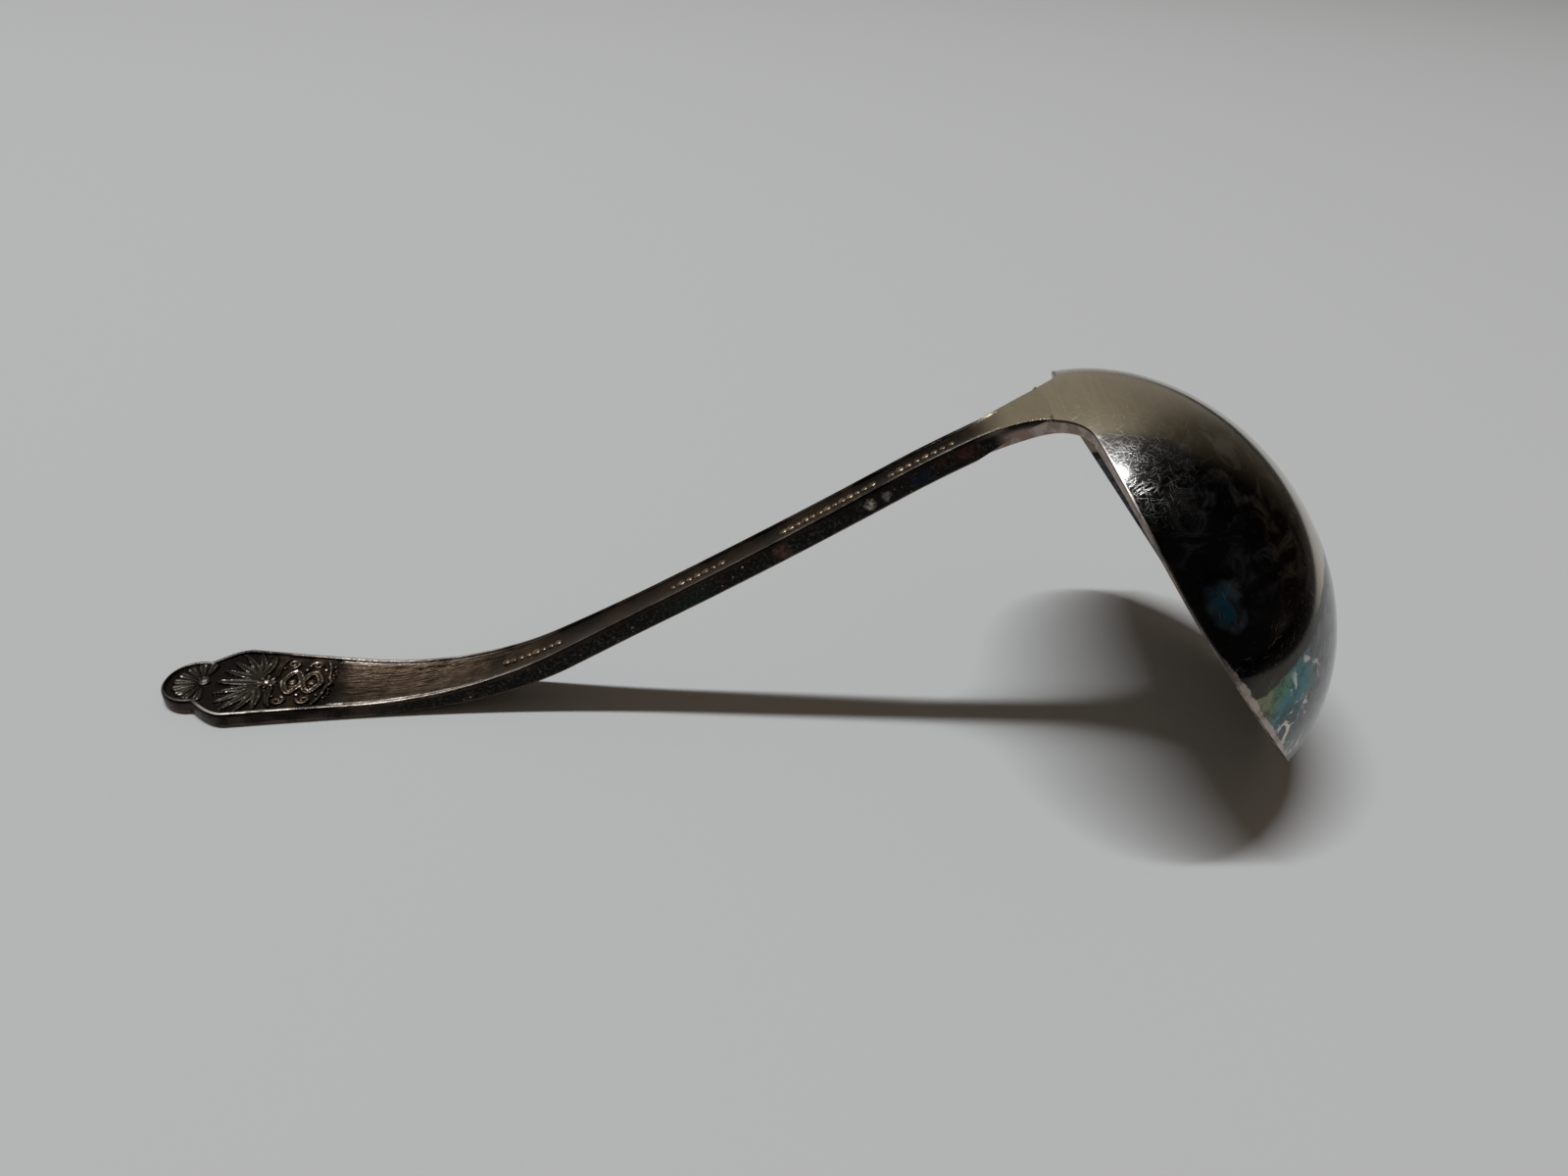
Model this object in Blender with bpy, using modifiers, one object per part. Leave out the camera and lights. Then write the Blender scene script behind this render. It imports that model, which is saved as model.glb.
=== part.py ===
"""Sauce ladle lying face down, as it rests on a table.

The ladle is three pieces: a bowl drawn from sheet with a short neck tongue, a struck handle with
a channelled shank and a lobed terminal, and the film of hard solder in the scarf between them.
It is drawn in its plane of symmetry, X along the ladle from terminal to bowl and Z up, starting
from the middle of the bowl's rim. The bowl stands on its rim and the terminal lies on the table.
"""

import math

import bmesh
import bpy
from mathutils import Matrix, Vector

MM = 0.001

# Bowl
RIM_RADIUS = 32.4 * MM
BOWL_DEPTH = 20.1 * MM
BOWL_FULLNESS = 1.55
WALL = 0.75 * MM
RIM_TILT = math.radians(50.7)
RIM_DIP = 1.8 * MM
RIM_DIP_END = math.radians(75)

# Neck tongue, part of the bowl
NECK_ROOT_WIDTH = 20.0 * MM
NECK_LENGTH = 14.8 * MM
NECK_WALL = 1.9 * MM
WALL_FADE = 23.0 * MM
TONGUE_WALL = 2.9 * MM
TONGUE_LENGTH = 9.0 * MM
ROOT_SLOPE = math.radians(14)
THROAT_SLOPE = math.radians(28.75)
THROAT_LENGTH = 8.5 * MM

# Shank and bend
WAIST_SLOPE = math.radians(30)
CREST_SLOPE = math.radians(33.75)
CREST_LENGTH = 11.0 * MM
SHANK_SLOPE = math.radians(30.2)
SHANK_WIDTH = 5.2 * MM
SHANK_THICKNESS = 3.45 * MM
WAIST_WIDTH = 4.6 * MM
BEND_RADIUS = 60.5 * MM
CHANNEL_DEPTH = 0.55 * MM
EDGE_ROUNDING = 0.35 * MM

# Terminal
TERMINAL_LENGTH = 27.5 * MM
TERMINAL_THICKNESS = 2.2 * MM
LOBE_WIDTH = 9.6 * MM
LOBE_CENTRE = 4.3 * MM
NOTCH_FROM_TIP = 5.3 * MM
NOTCH_WIDTH = 9.4 * MM
SHOULDER_FROM_TIP = 10.6 * MM
SHOULDER_WIDTH = 15.6 * MM
TAPER_LENGTH = 65.3 * MM
TAPER_POWER = 1.65

# Scarf joint
SCARF_FROM_ROOT = 3.0 * MM
SCARF_ANGLE = math.radians(24)
SOLDER_FILM = 0.25 * MM
JOINT_CLEARANCE = 0.1 * MM

# How finely the curves are divided
RIM_CELLS = 47
NECK_CELLS = 10
MERIDIAN_ROWS = 11
NECK_ROWS = 9
LOBE_STEPS = 7
STEPS = 9

# Directions in the plane of symmetry
Y = Vector((0, 1, 0))
TO_NECK = Vector((-math.cos(RIM_TILT), 0, math.sin(RIM_TILT)))
TO_CROWN = Vector((math.sin(RIM_TILT), 0, math.cos(RIM_TILT)))


def smooth(t):
    """Ease from 0 to 1, level at both ends."""
    t = min(max(t, 0.0), 1.0)
    return t * t * (3 - 2 * t)


# Places that the driving dimensions give


def neck_angle():
    """Half the angle that the neck's root takes up, seen from the middle of the rim."""
    return math.asin(NECK_ROOT_WIDTH / 2 / RIM_RADIUS)


def rim_cell_angle():
    """Angle of one division of the rim outside the neck."""
    return (2 * math.pi - 2 * neck_angle()) / RIM_CELLS


def rim_centre():
    """Middle of the rim, so high that the rim's lowest division lies on the table."""
    lowest = RIM_RADIUS * math.cos(rim_cell_angle() / 2)
    return Vector((0, 0, lowest * math.sin(RIM_TILT)))


def edge_height(angle):
    """How far the sheet's free edge stands above the rim's plane at an angle from the neck."""
    reach = (abs(angle) - neck_angle()) / (RIM_DIP_END - neck_angle())
    return RIM_DIP * (1 - smooth(reach))


def bowl_point(angle, row):
    """Point of the bowl's outside, row 0 at the crown and 1 at the free edge.

    The outside is a conic: a fullness of 1 gives a paraboloid and 2 half an ellipsoid.
    """
    share = row * math.sqrt(1 - edge_height(angle) / BOWL_DEPTH)
    height = BOWL_DEPTH * (1 - share**2)
    radius = RIM_RADIUS * share * math.sqrt(BOWL_FULLNESS - (BOWL_FULLNESS - 1) * share**2)
    out = TO_NECK * math.cos(angle) + Y * math.sin(angle)
    return rim_centre() + out * radius + TO_CROWN * height


def neck_root():
    """Point on top of the neck where it leaves the bowl."""
    return bowl_point(0, 1)


def neck_half_width(along):
    """Half the neck's width at a distance from its root, a long fillet that ends at the waist."""
    t = min(max(along / NECK_LENGTH, 0.0), 1.0)
    waist = WAIST_WIDTH / 2
    return waist + (bowl_point(neck_angle(), 1).y - waist) * (1 - math.sqrt(1 - (1 - t) ** 2))


def walk_back(place, slope, end_slope, length, distance):
    """Walk down an arc that turns from slope to end_slope over length, and stop at distance."""
    turn = (end_slope - slope) * distance / length
    chord = distance * math.sin(turn / 2) / (turn / 2) if turn else distance
    heading = slope + turn / 2
    return place - Vector((math.cos(heading), 0, math.sin(heading))) * chord, slope + turn


def walk_arcs(arcs, distance):
    """Walk from the neck's root down arcs of end slope and length, and stop at distance."""
    place, slope = neck_root(), ROOT_SLOPE
    for end_slope, length in arcs:
        step = min(distance, length)
        place, slope = walk_back(place, slope, end_slope, length, step)
        distance -= step
    return place, slope


def upper_arcs():
    """Arcs of the top from the neck's root: throat, waist, and crest where it is steepest."""
    return [
        (THROAT_SLOPE, THROAT_LENGTH),
        (WAIST_SLOPE, NECK_LENGTH - THROAT_LENGTH),
        (CREST_SLOPE, CREST_LENGTH),
    ]


def shank_length():
    """Length of the shank from crest to bend, set by the height of the neck's root."""
    crest, _ = walk_arcs(upper_arcs(), NECK_LENGTH + CREST_LENGTH)
    bend_top = TERMINAL_THICKNESS + BEND_RADIUS * (1 - math.cos(SHANK_SLOPE))
    below, _ = walk_back(Vector(), CREST_SLOPE, SHANK_SLOPE, 1.0, 1.0)
    return (crest.z - bend_top) / -below.z


def handle_length():
    """Length of the handle's top from tip to neck root."""
    bend = BEND_RADIUS * SHANK_SLOPE
    return TERMINAL_LENGTH + bend + shank_length() + CREST_LENGTH + NECK_LENGTH


def spine(from_root):
    """Point on top of the handle at a distance from the neck's root, and the slope there."""
    arcs = upper_arcs() + [
        (SHANK_SLOPE, shank_length()),
        (0.0, BEND_RADIUS * SHANK_SLOPE),
        (0.0, TERMINAL_LENGTH),
    ]
    return walk_arcs(arcs, from_root)


def across(slope):
    """Directions along and square to the handle's top, in the plane of symmetry."""
    along = Vector((math.cos(slope), 0, math.sin(slope)))
    return along, Vector((-along.z, 0, along.x))


def neck_bow():
    """How far the ends of the neck's root lie behind its middle, and how far above."""
    along, off = across(ROOT_SLOPE)
    gap = bowl_point(neck_angle(), 1) - neck_root()
    return gap.dot(along), gap.dot(off)


def scarf_matrix(shift):
    """Frame on the scarf: X down its slope, Y across, Z towards the handle, moved by shift."""
    place, slope = spine(SCARF_FROM_ROOT)
    down, face = across(slope + SCARF_ANGLE)
    frame = Matrix((-down, -Y, face)).transposed().to_4x4()
    frame.translation = place + face * shift
    return frame


def handle_half_width(along):
    """Half the handle's width: lobe, notch, shoulder, long taper, waist and neck flare."""
    if along < LOBE_CENTRE:
        return LOBE_WIDTH / 2 * math.sqrt(1 - (1 - along / LOBE_CENTRE) ** 2)
    if along < NOTCH_FROM_TIP:
        t = smooth((along - LOBE_CENTRE) / (NOTCH_FROM_TIP - LOBE_CENTRE))
        return (LOBE_WIDTH + (NOTCH_WIDTH - LOBE_WIDTH) * t) / 2
    if along < SHOULDER_FROM_TIP:
        t = math.sin(math.pi / 2 * (along - NOTCH_FROM_TIP) / (SHOULDER_FROM_TIP - NOTCH_FROM_TIP))
        return (NOTCH_WIDTH + (SHOULDER_WIDTH - NOTCH_WIDTH) * t) / 2
    t = (along - SHOULDER_FROM_TIP) / TAPER_LENGTH
    if t < 1:
        return (SHANK_WIDTH + (SHOULDER_WIDTH - SHANK_WIDTH) * (1 - t) ** TAPER_POWER) / 2
    waist = handle_length() - NECK_LENGTH
    taper_end = SHOULDER_FROM_TIP + TAPER_LENGTH
    if along < waist:
        t = smooth((along - taper_end) / (waist - taper_end))
        return (SHANK_WIDTH + (WAIST_WIDTH - SHANK_WIDTH) * t) / 2
    return neck_half_width(handle_length() - along)


def handle_thickness(along):
    """Thickness of the handle: the terminal's, growing to the shank's over the bend."""
    bend = smooth((along - TERMINAL_LENGTH) / (BEND_RADIUS * SHANK_SLOPE))
    return TERMINAL_THICKNESS + (SHANK_THICKNESS - TERMINAL_THICKNESS) * bend


def handle_section(along):
    """Closed loop of points across the handle: edge mouldings, channel, sides and flat back."""
    from_root = handle_length() - along
    place, slope = spine(from_root)
    ahead, off = across(slope)
    half = handle_half_width(along)
    thick = handle_thickness(along)
    struck = smooth((from_root - NECK_LENGTH / 2) / NECK_LENGTH * 2)
    channel = CHANNEL_DEPTH * struck
    behind, above = (bow * (1 - struck) / neck_half_width(0) ** 2 for bow in neck_bow())
    edge = min(EDGE_ROUNDING, half / 2)
    top = [(0.0, channel), (0.45, 0.9 * channel), (0.66, 0.5 * channel), (0.8, 0.0), (0.9, 0.0)]
    side = [(half * share, above * (half * share) ** 2 - drop) for share, drop in top]
    side.append((half, above * half ** 2 - edge))
    side += [(half, edge - thick), (half - edge, -thick), (0.0, -thick)]
    loop = side + [(-y, z) for y, z in reversed(side[1:-1])]
    return [place + Y * y + off * z + ahead * behind * y ** 2 for y, z in loop]


def handle_stations():
    """Distances from the tip at which the handle's section is drawn."""
    turns = [
        NOTCH_FROM_TIP,
        SHOULDER_FROM_TIP,
        TERMINAL_LENGTH,
        TERMINAL_LENGTH + BEND_RADIUS * SHANK_SLOPE,
        handle_length() - NECK_LENGTH,
        handle_length() - SCARF_FROM_ROOT / 2,
    ]
    stations = []
    for step in range(1, LOBE_STEPS + 1):
        stations.append(LOBE_CENTRE * (1 - math.cos(math.pi / 2 * step / LOBE_STEPS)))
    start = LOBE_CENTRE
    for end in turns:
        stations += [start + (end - start) * (step + 1) / STEPS for step in range(STEPS)]
        start = end
    return stations


# Building blocks


def new_object(name, mesh, collection):
    """Put a mesh into the scene as an object of that name."""
    thing = bpy.data.objects.new(name, mesh)
    collection.objects.link(thing)
    return thing


def loft(name, loops, collection):
    """Closed solid through a row of loops with as many points each."""
    shape = bmesh.new()
    rings = [[shape.verts.new(point) for point in loop] for loop in loops]
    count = len(rings[0])
    for one, two in zip(rings, rings[1:]):
        for k in range(count):
            after = (k + 1) % count
            shape.faces.new((one[k], one[after], two[after], two[k]))
    shape.faces.new(rings[0])
    shape.faces.new(rings[-1])
    bmesh.ops.recalc_face_normals(shape, faces=shape.faces)
    mesh = bpy.data.meshes.new(name)
    shape.to_mesh(mesh)
    shape.free()
    return new_object(name, mesh, collection)


def cut_away(target, name, matrix, side, collection):
    """Cut away what lies beyond the XY plane of a frame, on its side +1 or -1 in Z."""
    size = 4 * NECK_ROOT_WIDTH
    bpy.ops.mesh.primitive_cube_add(size=size)
    cutter = bpy.context.object
    cutter.name = name
    cutter.matrix_world = matrix @ Matrix.Translation((0, 0, side * size / 2))
    cutter.hide_render = True
    cutter.display_type = "WIRE"
    for holder in list(cutter.users_collection):
        holder.objects.unlink(cutter)
    collection.objects.link(cutter)
    cut = target.modifiers.new("scarf", "BOOLEAN")
    cut.operation = "DIFFERENCE"
    cut.solver = "EXACT"
    cut.object = cutter


def finish(thing, colour, roughness):
    """Give an object its metal and smooth shading with sharp edges kept."""
    metal = bpy.data.materials.new(thing.name)
    metal.use_nodes = True
    shader = metal.node_tree.nodes["Principled BSDF"]
    shader.inputs["Base Color"].default_value = (*colour, 1)
    shader.inputs["Roughness"].default_value = roughness
    shader.inputs["Metallic"].default_value = 1
    thing.data.materials.append(metal)
    thing.data.shade_smooth()
    thing.data.set_sharp_from_angle(angle=math.radians(35))


# The three pieces


def make_bowl(parts, cutters):
    """Bowl and neck tongue, one sheet with thickness, cut to the scarf."""
    neck = neck_angle()
    angles = [neck * (2 * k / NECK_CELLS - 1) for k in range(NECK_CELLS + 1)]
    angles += [neck + rim_cell_angle() * k for k in range(1, RIM_CELLS)]
    angles = [math.remainder(angle, 2 * math.pi) for angle in angles]

    sheet = bmesh.new()
    crown = sheet.verts.new(bowl_point(0, 0))
    rows = []
    for row in range(1, MERIDIAN_ROWS + 1):
        share = row / MERIDIAN_ROWS
        rows.append([sheet.verts.new(bowl_point(angle, share)) for angle in angles])
    count = len(angles)
    for k in range(count):
        after = (k + 1) % count
        sheet.faces.new((crown, rows[0][k], rows[0][after]))
        for one, two in zip(rows, rows[1:]):
            sheet.faces.new((one[k], two[k], two[after], one[after]))

    root, root_slope = spine(0)
    root_ahead, root_off = across(root_slope)
    end = rows[-1][: NECK_CELLS + 1]
    root_row = [vert.co - root for vert in end]
    neck_rows = []
    for row in range(1, NECK_ROWS + 1):
        along = NECK_LENGTH * (row / NECK_ROWS) ** 2
        share = neck_half_width(along) / neck_half_width(0)
        place, slope = spine(along)
        ahead, off = across(slope)
        line = []
        for beside in root_row:
            bow = ahead * beside.dot(root_ahead) + off * beside.dot(root_off)
            line.append(sheet.verts.new(place + Y * beside.y * share + bow * share ** 2))
        for k in range(NECK_CELLS):
            sheet.faces.new((end[k], line[k], line[k + 1], end[k + 1]))
        neck_rows.append((along, len(line)))
        end = line
    bmesh.ops.recalc_face_normals(sheet, faces=sheet.faces)

    mesh = bpy.data.meshes.new("bowl")
    sheet.to_mesh(mesh)
    sheet.free()
    bowl = new_object("bowl", mesh, parts)
    walls = []
    for vert in mesh.vertices[: 1 + MERIDIAN_ROWS * count]:
        beyond = (vert.co - root).length - NECK_ROOT_WIDTH / 2
        walls.append(NECK_WALL + (WALL - NECK_WALL) * smooth(beyond / WALL_FADE))
    for along, points in neck_rows:
        tongue = NECK_WALL + (TONGUE_WALL - NECK_WALL) * smooth(along / TONGUE_LENGTH)
        walls += [tongue] * points
    group = bowl.vertex_groups.new(name="wall")
    for index, wall in enumerate(walls):
        group.add([index], wall / TONGUE_WALL, "REPLACE")

    shell = bowl.modifiers.new("wall", "SOLIDIFY")
    shell.thickness = TONGUE_WALL
    shell.vertex_group = "wall"
    shell.offset = -1
    shell.use_even_offset = True
    cut_away(bowl, "tongue_cutter", scarf_matrix(-SOLDER_FILM / 2 - JOINT_CLEARANCE), 1, cutters)
    finish(bowl, (0.36, 0.32, 0.26), 0.25)
    return bowl


def make_handle(parts, cutters):
    """Struck handle, lofted from tip to neck and cut to the scarf."""
    handle = loft("handle", [handle_section(along) for along in handle_stations()], parts)
    cut_away(handle, "handle_cutter", scarf_matrix(SOLDER_FILM / 2 + JOINT_CLEARANCE), -1, cutters)
    finish(handle, (0.10, 0.075, 0.055), 0.4)
    return handle


def make_solder(parts):
    """Film of solder on the scarf, as long as the tongue is thick and as wide as the neck."""
    length = (TONGUE_WALL - 2 * JOINT_CLEARANCE) / math.sin(SCARF_ANGLE)
    start = 2 * JOINT_CLEARANCE / math.sin(SCARF_ANGLE)
    edge = []
    for step in range(STEPS):
        down = start + (length - start) * step / (STEPS - 1)
        along = SCARF_FROM_ROOT + down * math.cos(SCARF_ANGLE)
        edge.append((down, neck_half_width(along) - JOINT_CLEARANCE))
    outline = edge + [(down, -half) for down, half in reversed(edge)]
    frame = scarf_matrix(0)
    loops = []
    for level in (-SOLDER_FILM / 2, SOLDER_FILM / 2):
        loops.append([frame @ Vector((down, beside, level)) for down, beside in outline])
    solder = loft("solder_seam", loops, parts)
    finish(solder, (0.55, 0.50, 0.44), 0.35)
    return solder


def stand_at_origin(pieces):
    """Hang the pieces on an empty so that the origin is below the middle of their box."""
    bpy.context.view_layer.update()
    corners = [Vector(corner).x for piece in pieces for corner in piece.bound_box]
    ladle = bpy.data.objects.new("ladle", None)
    bpy.context.scene.collection.objects.link(ladle)
    ladle.location.x = -(min(corners) + max(corners)) / 2
    for piece in bpy.data.objects:
        if piece.type == "MESH":
            piece.parent = ladle


def main():
    """Clear the scene and build the ladle."""
    for thing in list(bpy.data.objects):
        bpy.data.objects.remove(thing, do_unlink=True)
    parts = bpy.data.collections.new("sauce_ladle")
    cutters = bpy.data.collections.new("cutters")
    for collection in (parts, cutters):
        bpy.context.scene.collection.children.link(collection)
    pieces = [make_bowl(parts, cutters), make_handle(parts, cutters), make_solder(parts)]
    stand_at_origin(pieces)


main()
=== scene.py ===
"""Looks of an old plated sauce ladle that lies face down on a pale table.

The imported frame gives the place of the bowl, the handle and the solder between them. Each gets a
finer mesh here: a flat worn rim, edge threads and struck ornament on the handle, and metal finishes
with tarnish, wear and scratches. Sizes are in metres, in the frame's own axes.
"""

import logging
import math
from dataclasses import dataclass, field
from enum import Enum
from typing import Callable, Iterable, Sequence

import bmesh
import bpy
import numpy as np
from mathutils import Matrix, Vector
from mathutils.kdtree import KDTree


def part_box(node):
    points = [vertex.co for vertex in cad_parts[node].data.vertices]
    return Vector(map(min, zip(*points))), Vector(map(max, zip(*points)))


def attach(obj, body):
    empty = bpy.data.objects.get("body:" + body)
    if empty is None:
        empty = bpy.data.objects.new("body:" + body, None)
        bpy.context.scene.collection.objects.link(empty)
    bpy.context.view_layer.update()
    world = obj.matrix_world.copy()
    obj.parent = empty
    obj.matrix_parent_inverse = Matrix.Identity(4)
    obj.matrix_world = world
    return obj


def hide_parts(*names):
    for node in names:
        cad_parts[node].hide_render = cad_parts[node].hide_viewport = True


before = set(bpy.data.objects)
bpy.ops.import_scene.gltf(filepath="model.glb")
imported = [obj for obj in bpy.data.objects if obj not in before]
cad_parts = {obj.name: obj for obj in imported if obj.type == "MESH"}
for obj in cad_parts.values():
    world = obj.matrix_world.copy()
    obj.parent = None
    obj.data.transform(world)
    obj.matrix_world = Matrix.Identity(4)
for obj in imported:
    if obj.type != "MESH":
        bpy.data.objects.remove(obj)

LOG = logging.getLogger("ladle")
MM = 0.001

Colour = tuple[float, float, float]
Socket = bpy.types.NodeSocket
Source = Socket | float | tuple
Inputs = dict[str | int, Source]
Point = tuple[float, float, float]
# A flat place, the two ends of a range, and the start and length of a fade
Flat = Range = Fade = tuple[float, float]
Curve = Callable[[float], Flat]
SHADER = "Principled BSDF"


class Slot(Enum):
    """Material slots of the record that the pieces take their finish from."""

    BOWL = "bowl_plate"
    HANDLE = "handle_plate"
    SOLDER = "solder"


class Skin(Enum):
    """Kinds of face on the bowl's sheet, numbered as its modifiers mark them."""

    SHEET = 0
    RIM = 1
    ARRIS = 2


def smooth(t: np.ndarray | float) -> np.ndarray | float:
    """Ease from 0 to 1, level at both ends."""
    t = np.clip(t, 0.0, 1.0)
    return t * t * (3 - 2 * t)


def ramp_up(distance: np.ndarray, fade: Fade) -> np.ndarray:
    """Ease from 0 to 1 over a stretch that is given by its start and its length."""
    return smooth((distance - fade[0]) / fade[1])


def bump(t: np.ndarray) -> np.ndarray:
    """Round ridge of height 1 at t = 0 that ends at t = 1."""
    return np.clip(1 - t * t, 0.0, 1.0)


def placed(x: Vector, y: Vector, z: Vector, origin: Vector) -> Matrix:
    """Matrix with given axes and origin."""
    matrix = Matrix((x, y, z)).transposed().to_4x4()
    matrix.translation = origin
    return matrix


@dataclass(frozen=True)
class LadleForm:
    """Main form of the ladle, the same sizes as the solids in the frame."""

    rim_radius: float = 32.4 * MM
    bowl_depth: float = 20.1 * MM
    bowl_fullness: float = 1.55
    wall: float = 0.75 * MM
    rim_tilt: float = math.radians(50.7)
    rim_dip: float = 1.8 * MM
    rim_dip_end: float = math.radians(75)
    rim_cells: int = 47
    neck_root_width: float = 20.0 * MM
    neck_length: float = 14.8 * MM
    neck_wall: float = 1.9 * MM
    wall_fade: float = 23.0 * MM
    tongue_wall: float = 2.9 * MM
    tongue_length: float = 9.0 * MM
    root_slope: float = math.radians(14)
    throat_slope: float = math.radians(28.75)
    throat_length: float = 8.5 * MM
    waist_slope: float = math.radians(30)
    crest_slope: float = math.radians(33.75)
    crest_length: float = 11.0 * MM
    shank_slope: float = math.radians(30.2)
    shank_width: float = 5.2 * MM
    shank_thickness: float = 3.45 * MM
    waist_width: float = 4.6 * MM
    bend_radius: float = 60.5 * MM
    terminal_length: float = 27.5 * MM
    terminal_thickness: float = 2.2 * MM
    lobe_width: float = 9.6 * MM
    lobe_centre: float = 4.3 * MM
    notch_from_tip: float = 5.3 * MM
    notch_width: float = 9.4 * MM
    shoulder_from_tip: float = 10.6 * MM
    shoulder_width: float = 15.6 * MM
    taper_length: float = 65.3 * MM
    taper_power: float = 1.65
    scarf_from_root: float = 3.0 * MM
    scarf_angle: float = math.radians(24)

    @property
    def neck_angle(self) -> float:
        """Half the angle that the neck's root takes up, seen from the rim's middle."""
        return math.asin(self.neck_root_width / 2 / self.rim_radius)

    @property
    def to_neck(self) -> np.ndarray:
        """Direction in the rim's plane from its middle to the neck."""
        return np.array((-math.cos(self.rim_tilt), 0, math.sin(self.rim_tilt)))

    @property
    def to_crown(self) -> np.ndarray:
        """Direction square to the rim's plane, out of the bowl's back."""
        return np.array((math.sin(self.rim_tilt), 0, math.cos(self.rim_tilt)))

    @property
    def rim_centre(self) -> np.ndarray:
        """Middle of the rim before the ladle is shifted into the frame."""
        cell = (math.pi - self.neck_angle) / self.rim_cells
        lowest = self.rim_radius * math.cos(cell)
        return np.array((0, 0, lowest * math.sin(self.rim_tilt)))

    @property
    def shift(self) -> np.ndarray:
        """Move along X that brings the handle's tip to where the frame has it."""
        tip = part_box("handle")[0][0]
        return np.array((tip - self.spine(self.handle_length)[0][0], 0, 0))

    def edge_height(self, angle: np.ndarray) -> np.ndarray:
        """Height of the sheet's free edge over the rim's plane at angles from the neck."""
        reach = (np.abs(angle) - self.neck_angle) / (self.rim_dip_end - self.neck_angle)
        return self.rim_dip * (1 - smooth(reach))

    def at(self, angle: np.ndarray, share: np.ndarray) -> np.ndarray:
        """Points on the bowl's outside at angles and at shares of the way from crown to rim."""
        height = self.bowl_depth * (1 - share ** 2)
        full = self.bowl_fullness
        radius = self.rim_radius * share * np.sqrt(full - (full - 1) * share ** 2)
        out = np.cos(angle)[..., None] * self.to_neck + np.sin(angle)[..., None] * np.array((0, 1, 0))
        return self.rim_centre + radius[..., None] * out + height[..., None] * self.to_crown

    def bowl_points(self, angles: np.ndarray, rows: np.ndarray) -> np.ndarray:
        """Points on the outside of the bowl.

        Args:
            angles: Angles from the neck, round the rim's middle.
            rows: Shares of the way from the crown (0) to the free edge (1).

        Returns:
            Array of rows by angles by 3.
        """
        share = rows[:, None] * np.sqrt(1 - self.edge_height(angles) / self.bowl_depth)[None, :]
        return self.at(np.broadcast_to(angles, share.shape), share)

    def spot(self, angle: float, height: float) -> Point:
        """Place in the frame on the bowl's outside.

        Args:
            angle: Degrees from the neck round the bowl, negative at the side of negative Y.
            height: Millimetres over the rim's plane.

        Returns:
            The place's coordinates.
        """
        share = math.sqrt(1 - height * MM / self.bowl_depth)
        point = self.at(np.array([math.radians(angle)]), np.array([share]))[0] + self.shift
        return float(point[0]), float(point[1]), float(point[2])

    @property
    def neck_root(self) -> np.ndarray:
        """Point on top of the neck where it leaves the bowl."""
        return self.bowl_points(np.zeros(1), np.ones(1))[0, 0]

    @property
    def root_half(self) -> float:
        """Half the neck's width at its root."""
        return float(self.bowl_points(np.array([self.neck_angle]), np.ones(1))[0, 0, 1])

    @property
    def neck_bow(self) -> tuple[float, float]:
        """How far the ends of the neck's root lie behind its middle, and how far above."""
        gap = self.bowl_points(np.array([self.neck_angle]), np.ones(1))[0, 0] - self.neck_root
        ahead, off = self.across(self.root_slope)
        return float(gap @ ahead), float(gap @ off)

    @staticmethod
    def across(slope: float) -> tuple[np.ndarray, np.ndarray]:
        """Directions along and square to the handle's top where it has a slope."""
        level, rise = math.cos(slope), math.sin(slope)
        return np.array((level, 0, rise)), np.array((-rise, 0, level))

    def neck_half(self, along: float) -> float:
        """Half the neck's width at a distance from its root."""
        t = min(max(along / self.neck_length, 0.0), 1.0)
        fillet = 1 - math.sqrt(max(1 - (1 - t) ** 2, 0.0))
        return self.waist_width / 2 + (self.root_half - self.waist_width / 2) * fillet

    @staticmethod
    def walk_back(place: np.ndarray, slope: float, end_slope: float, length: float,
                  distance: float) -> tuple[np.ndarray, float]:
        """Walk down an arc that turns from slope to end_slope over length.

        Args:
            place: Where the arc starts.
            slope: Slope at the start.
            end_slope: Slope at the arc's end.
            length: Length of the whole arc.
            distance: Distance to walk.

        Returns:
            The point reached and the slope there.
        """
        turn = (end_slope - slope) * distance / length
        chord = distance * math.sin(turn / 2) / (turn / 2) if turn else distance
        heading = slope + turn / 2
        return place - chord * np.array((math.cos(heading), 0, math.sin(heading))), slope + turn

    def walk_arcs(self, arcs: Sequence[tuple[float, float]], distance: float) -> tuple[np.ndarray, float]:
        """Walk from the neck's root down a row of arcs.

        Args:
            arcs: End slope and length of each arc.
            distance: Distance to walk.

        Returns:
            The point reached and the slope there.
        """
        place, slope = self.neck_root, self.root_slope
        for end_slope, length in arcs:
            step = min(distance, length)
            place, slope = self.walk_back(place, slope, end_slope, length, step)
            distance -= step
        return place, slope

    @property
    def upper_arcs(self) -> list[tuple[float, float]]:
        """Arcs of the top from the neck's root: throat, waist and crest."""
        return [
            (self.throat_slope, self.throat_length),
            (self.waist_slope, self.neck_length - self.throat_length),
            (self.crest_slope, self.crest_length),
        ]

    @property
    def shank_length(self) -> float:
        """Length of the shank from crest to bend."""
        crest, _ = self.walk_arcs(self.upper_arcs, self.neck_length + self.crest_length)
        bend_top = self.terminal_thickness + self.bend_radius * (1 - math.cos(self.shank_slope))
        below, _ = self.walk_back(np.zeros(3), self.crest_slope, self.shank_slope, 1.0, 1.0)
        return (crest[2] - bend_top) / -below[2]

    @property
    def bend_length(self) -> float:
        """Length of the bend between shank and terminal."""
        return self.bend_radius * self.shank_slope

    @property
    def handle_length(self) -> float:
        """Length of the handle's top from tip to neck root."""
        shank = self.shank_length + self.crest_length
        return self.terminal_length + self.bend_length + shank + self.neck_length

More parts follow.
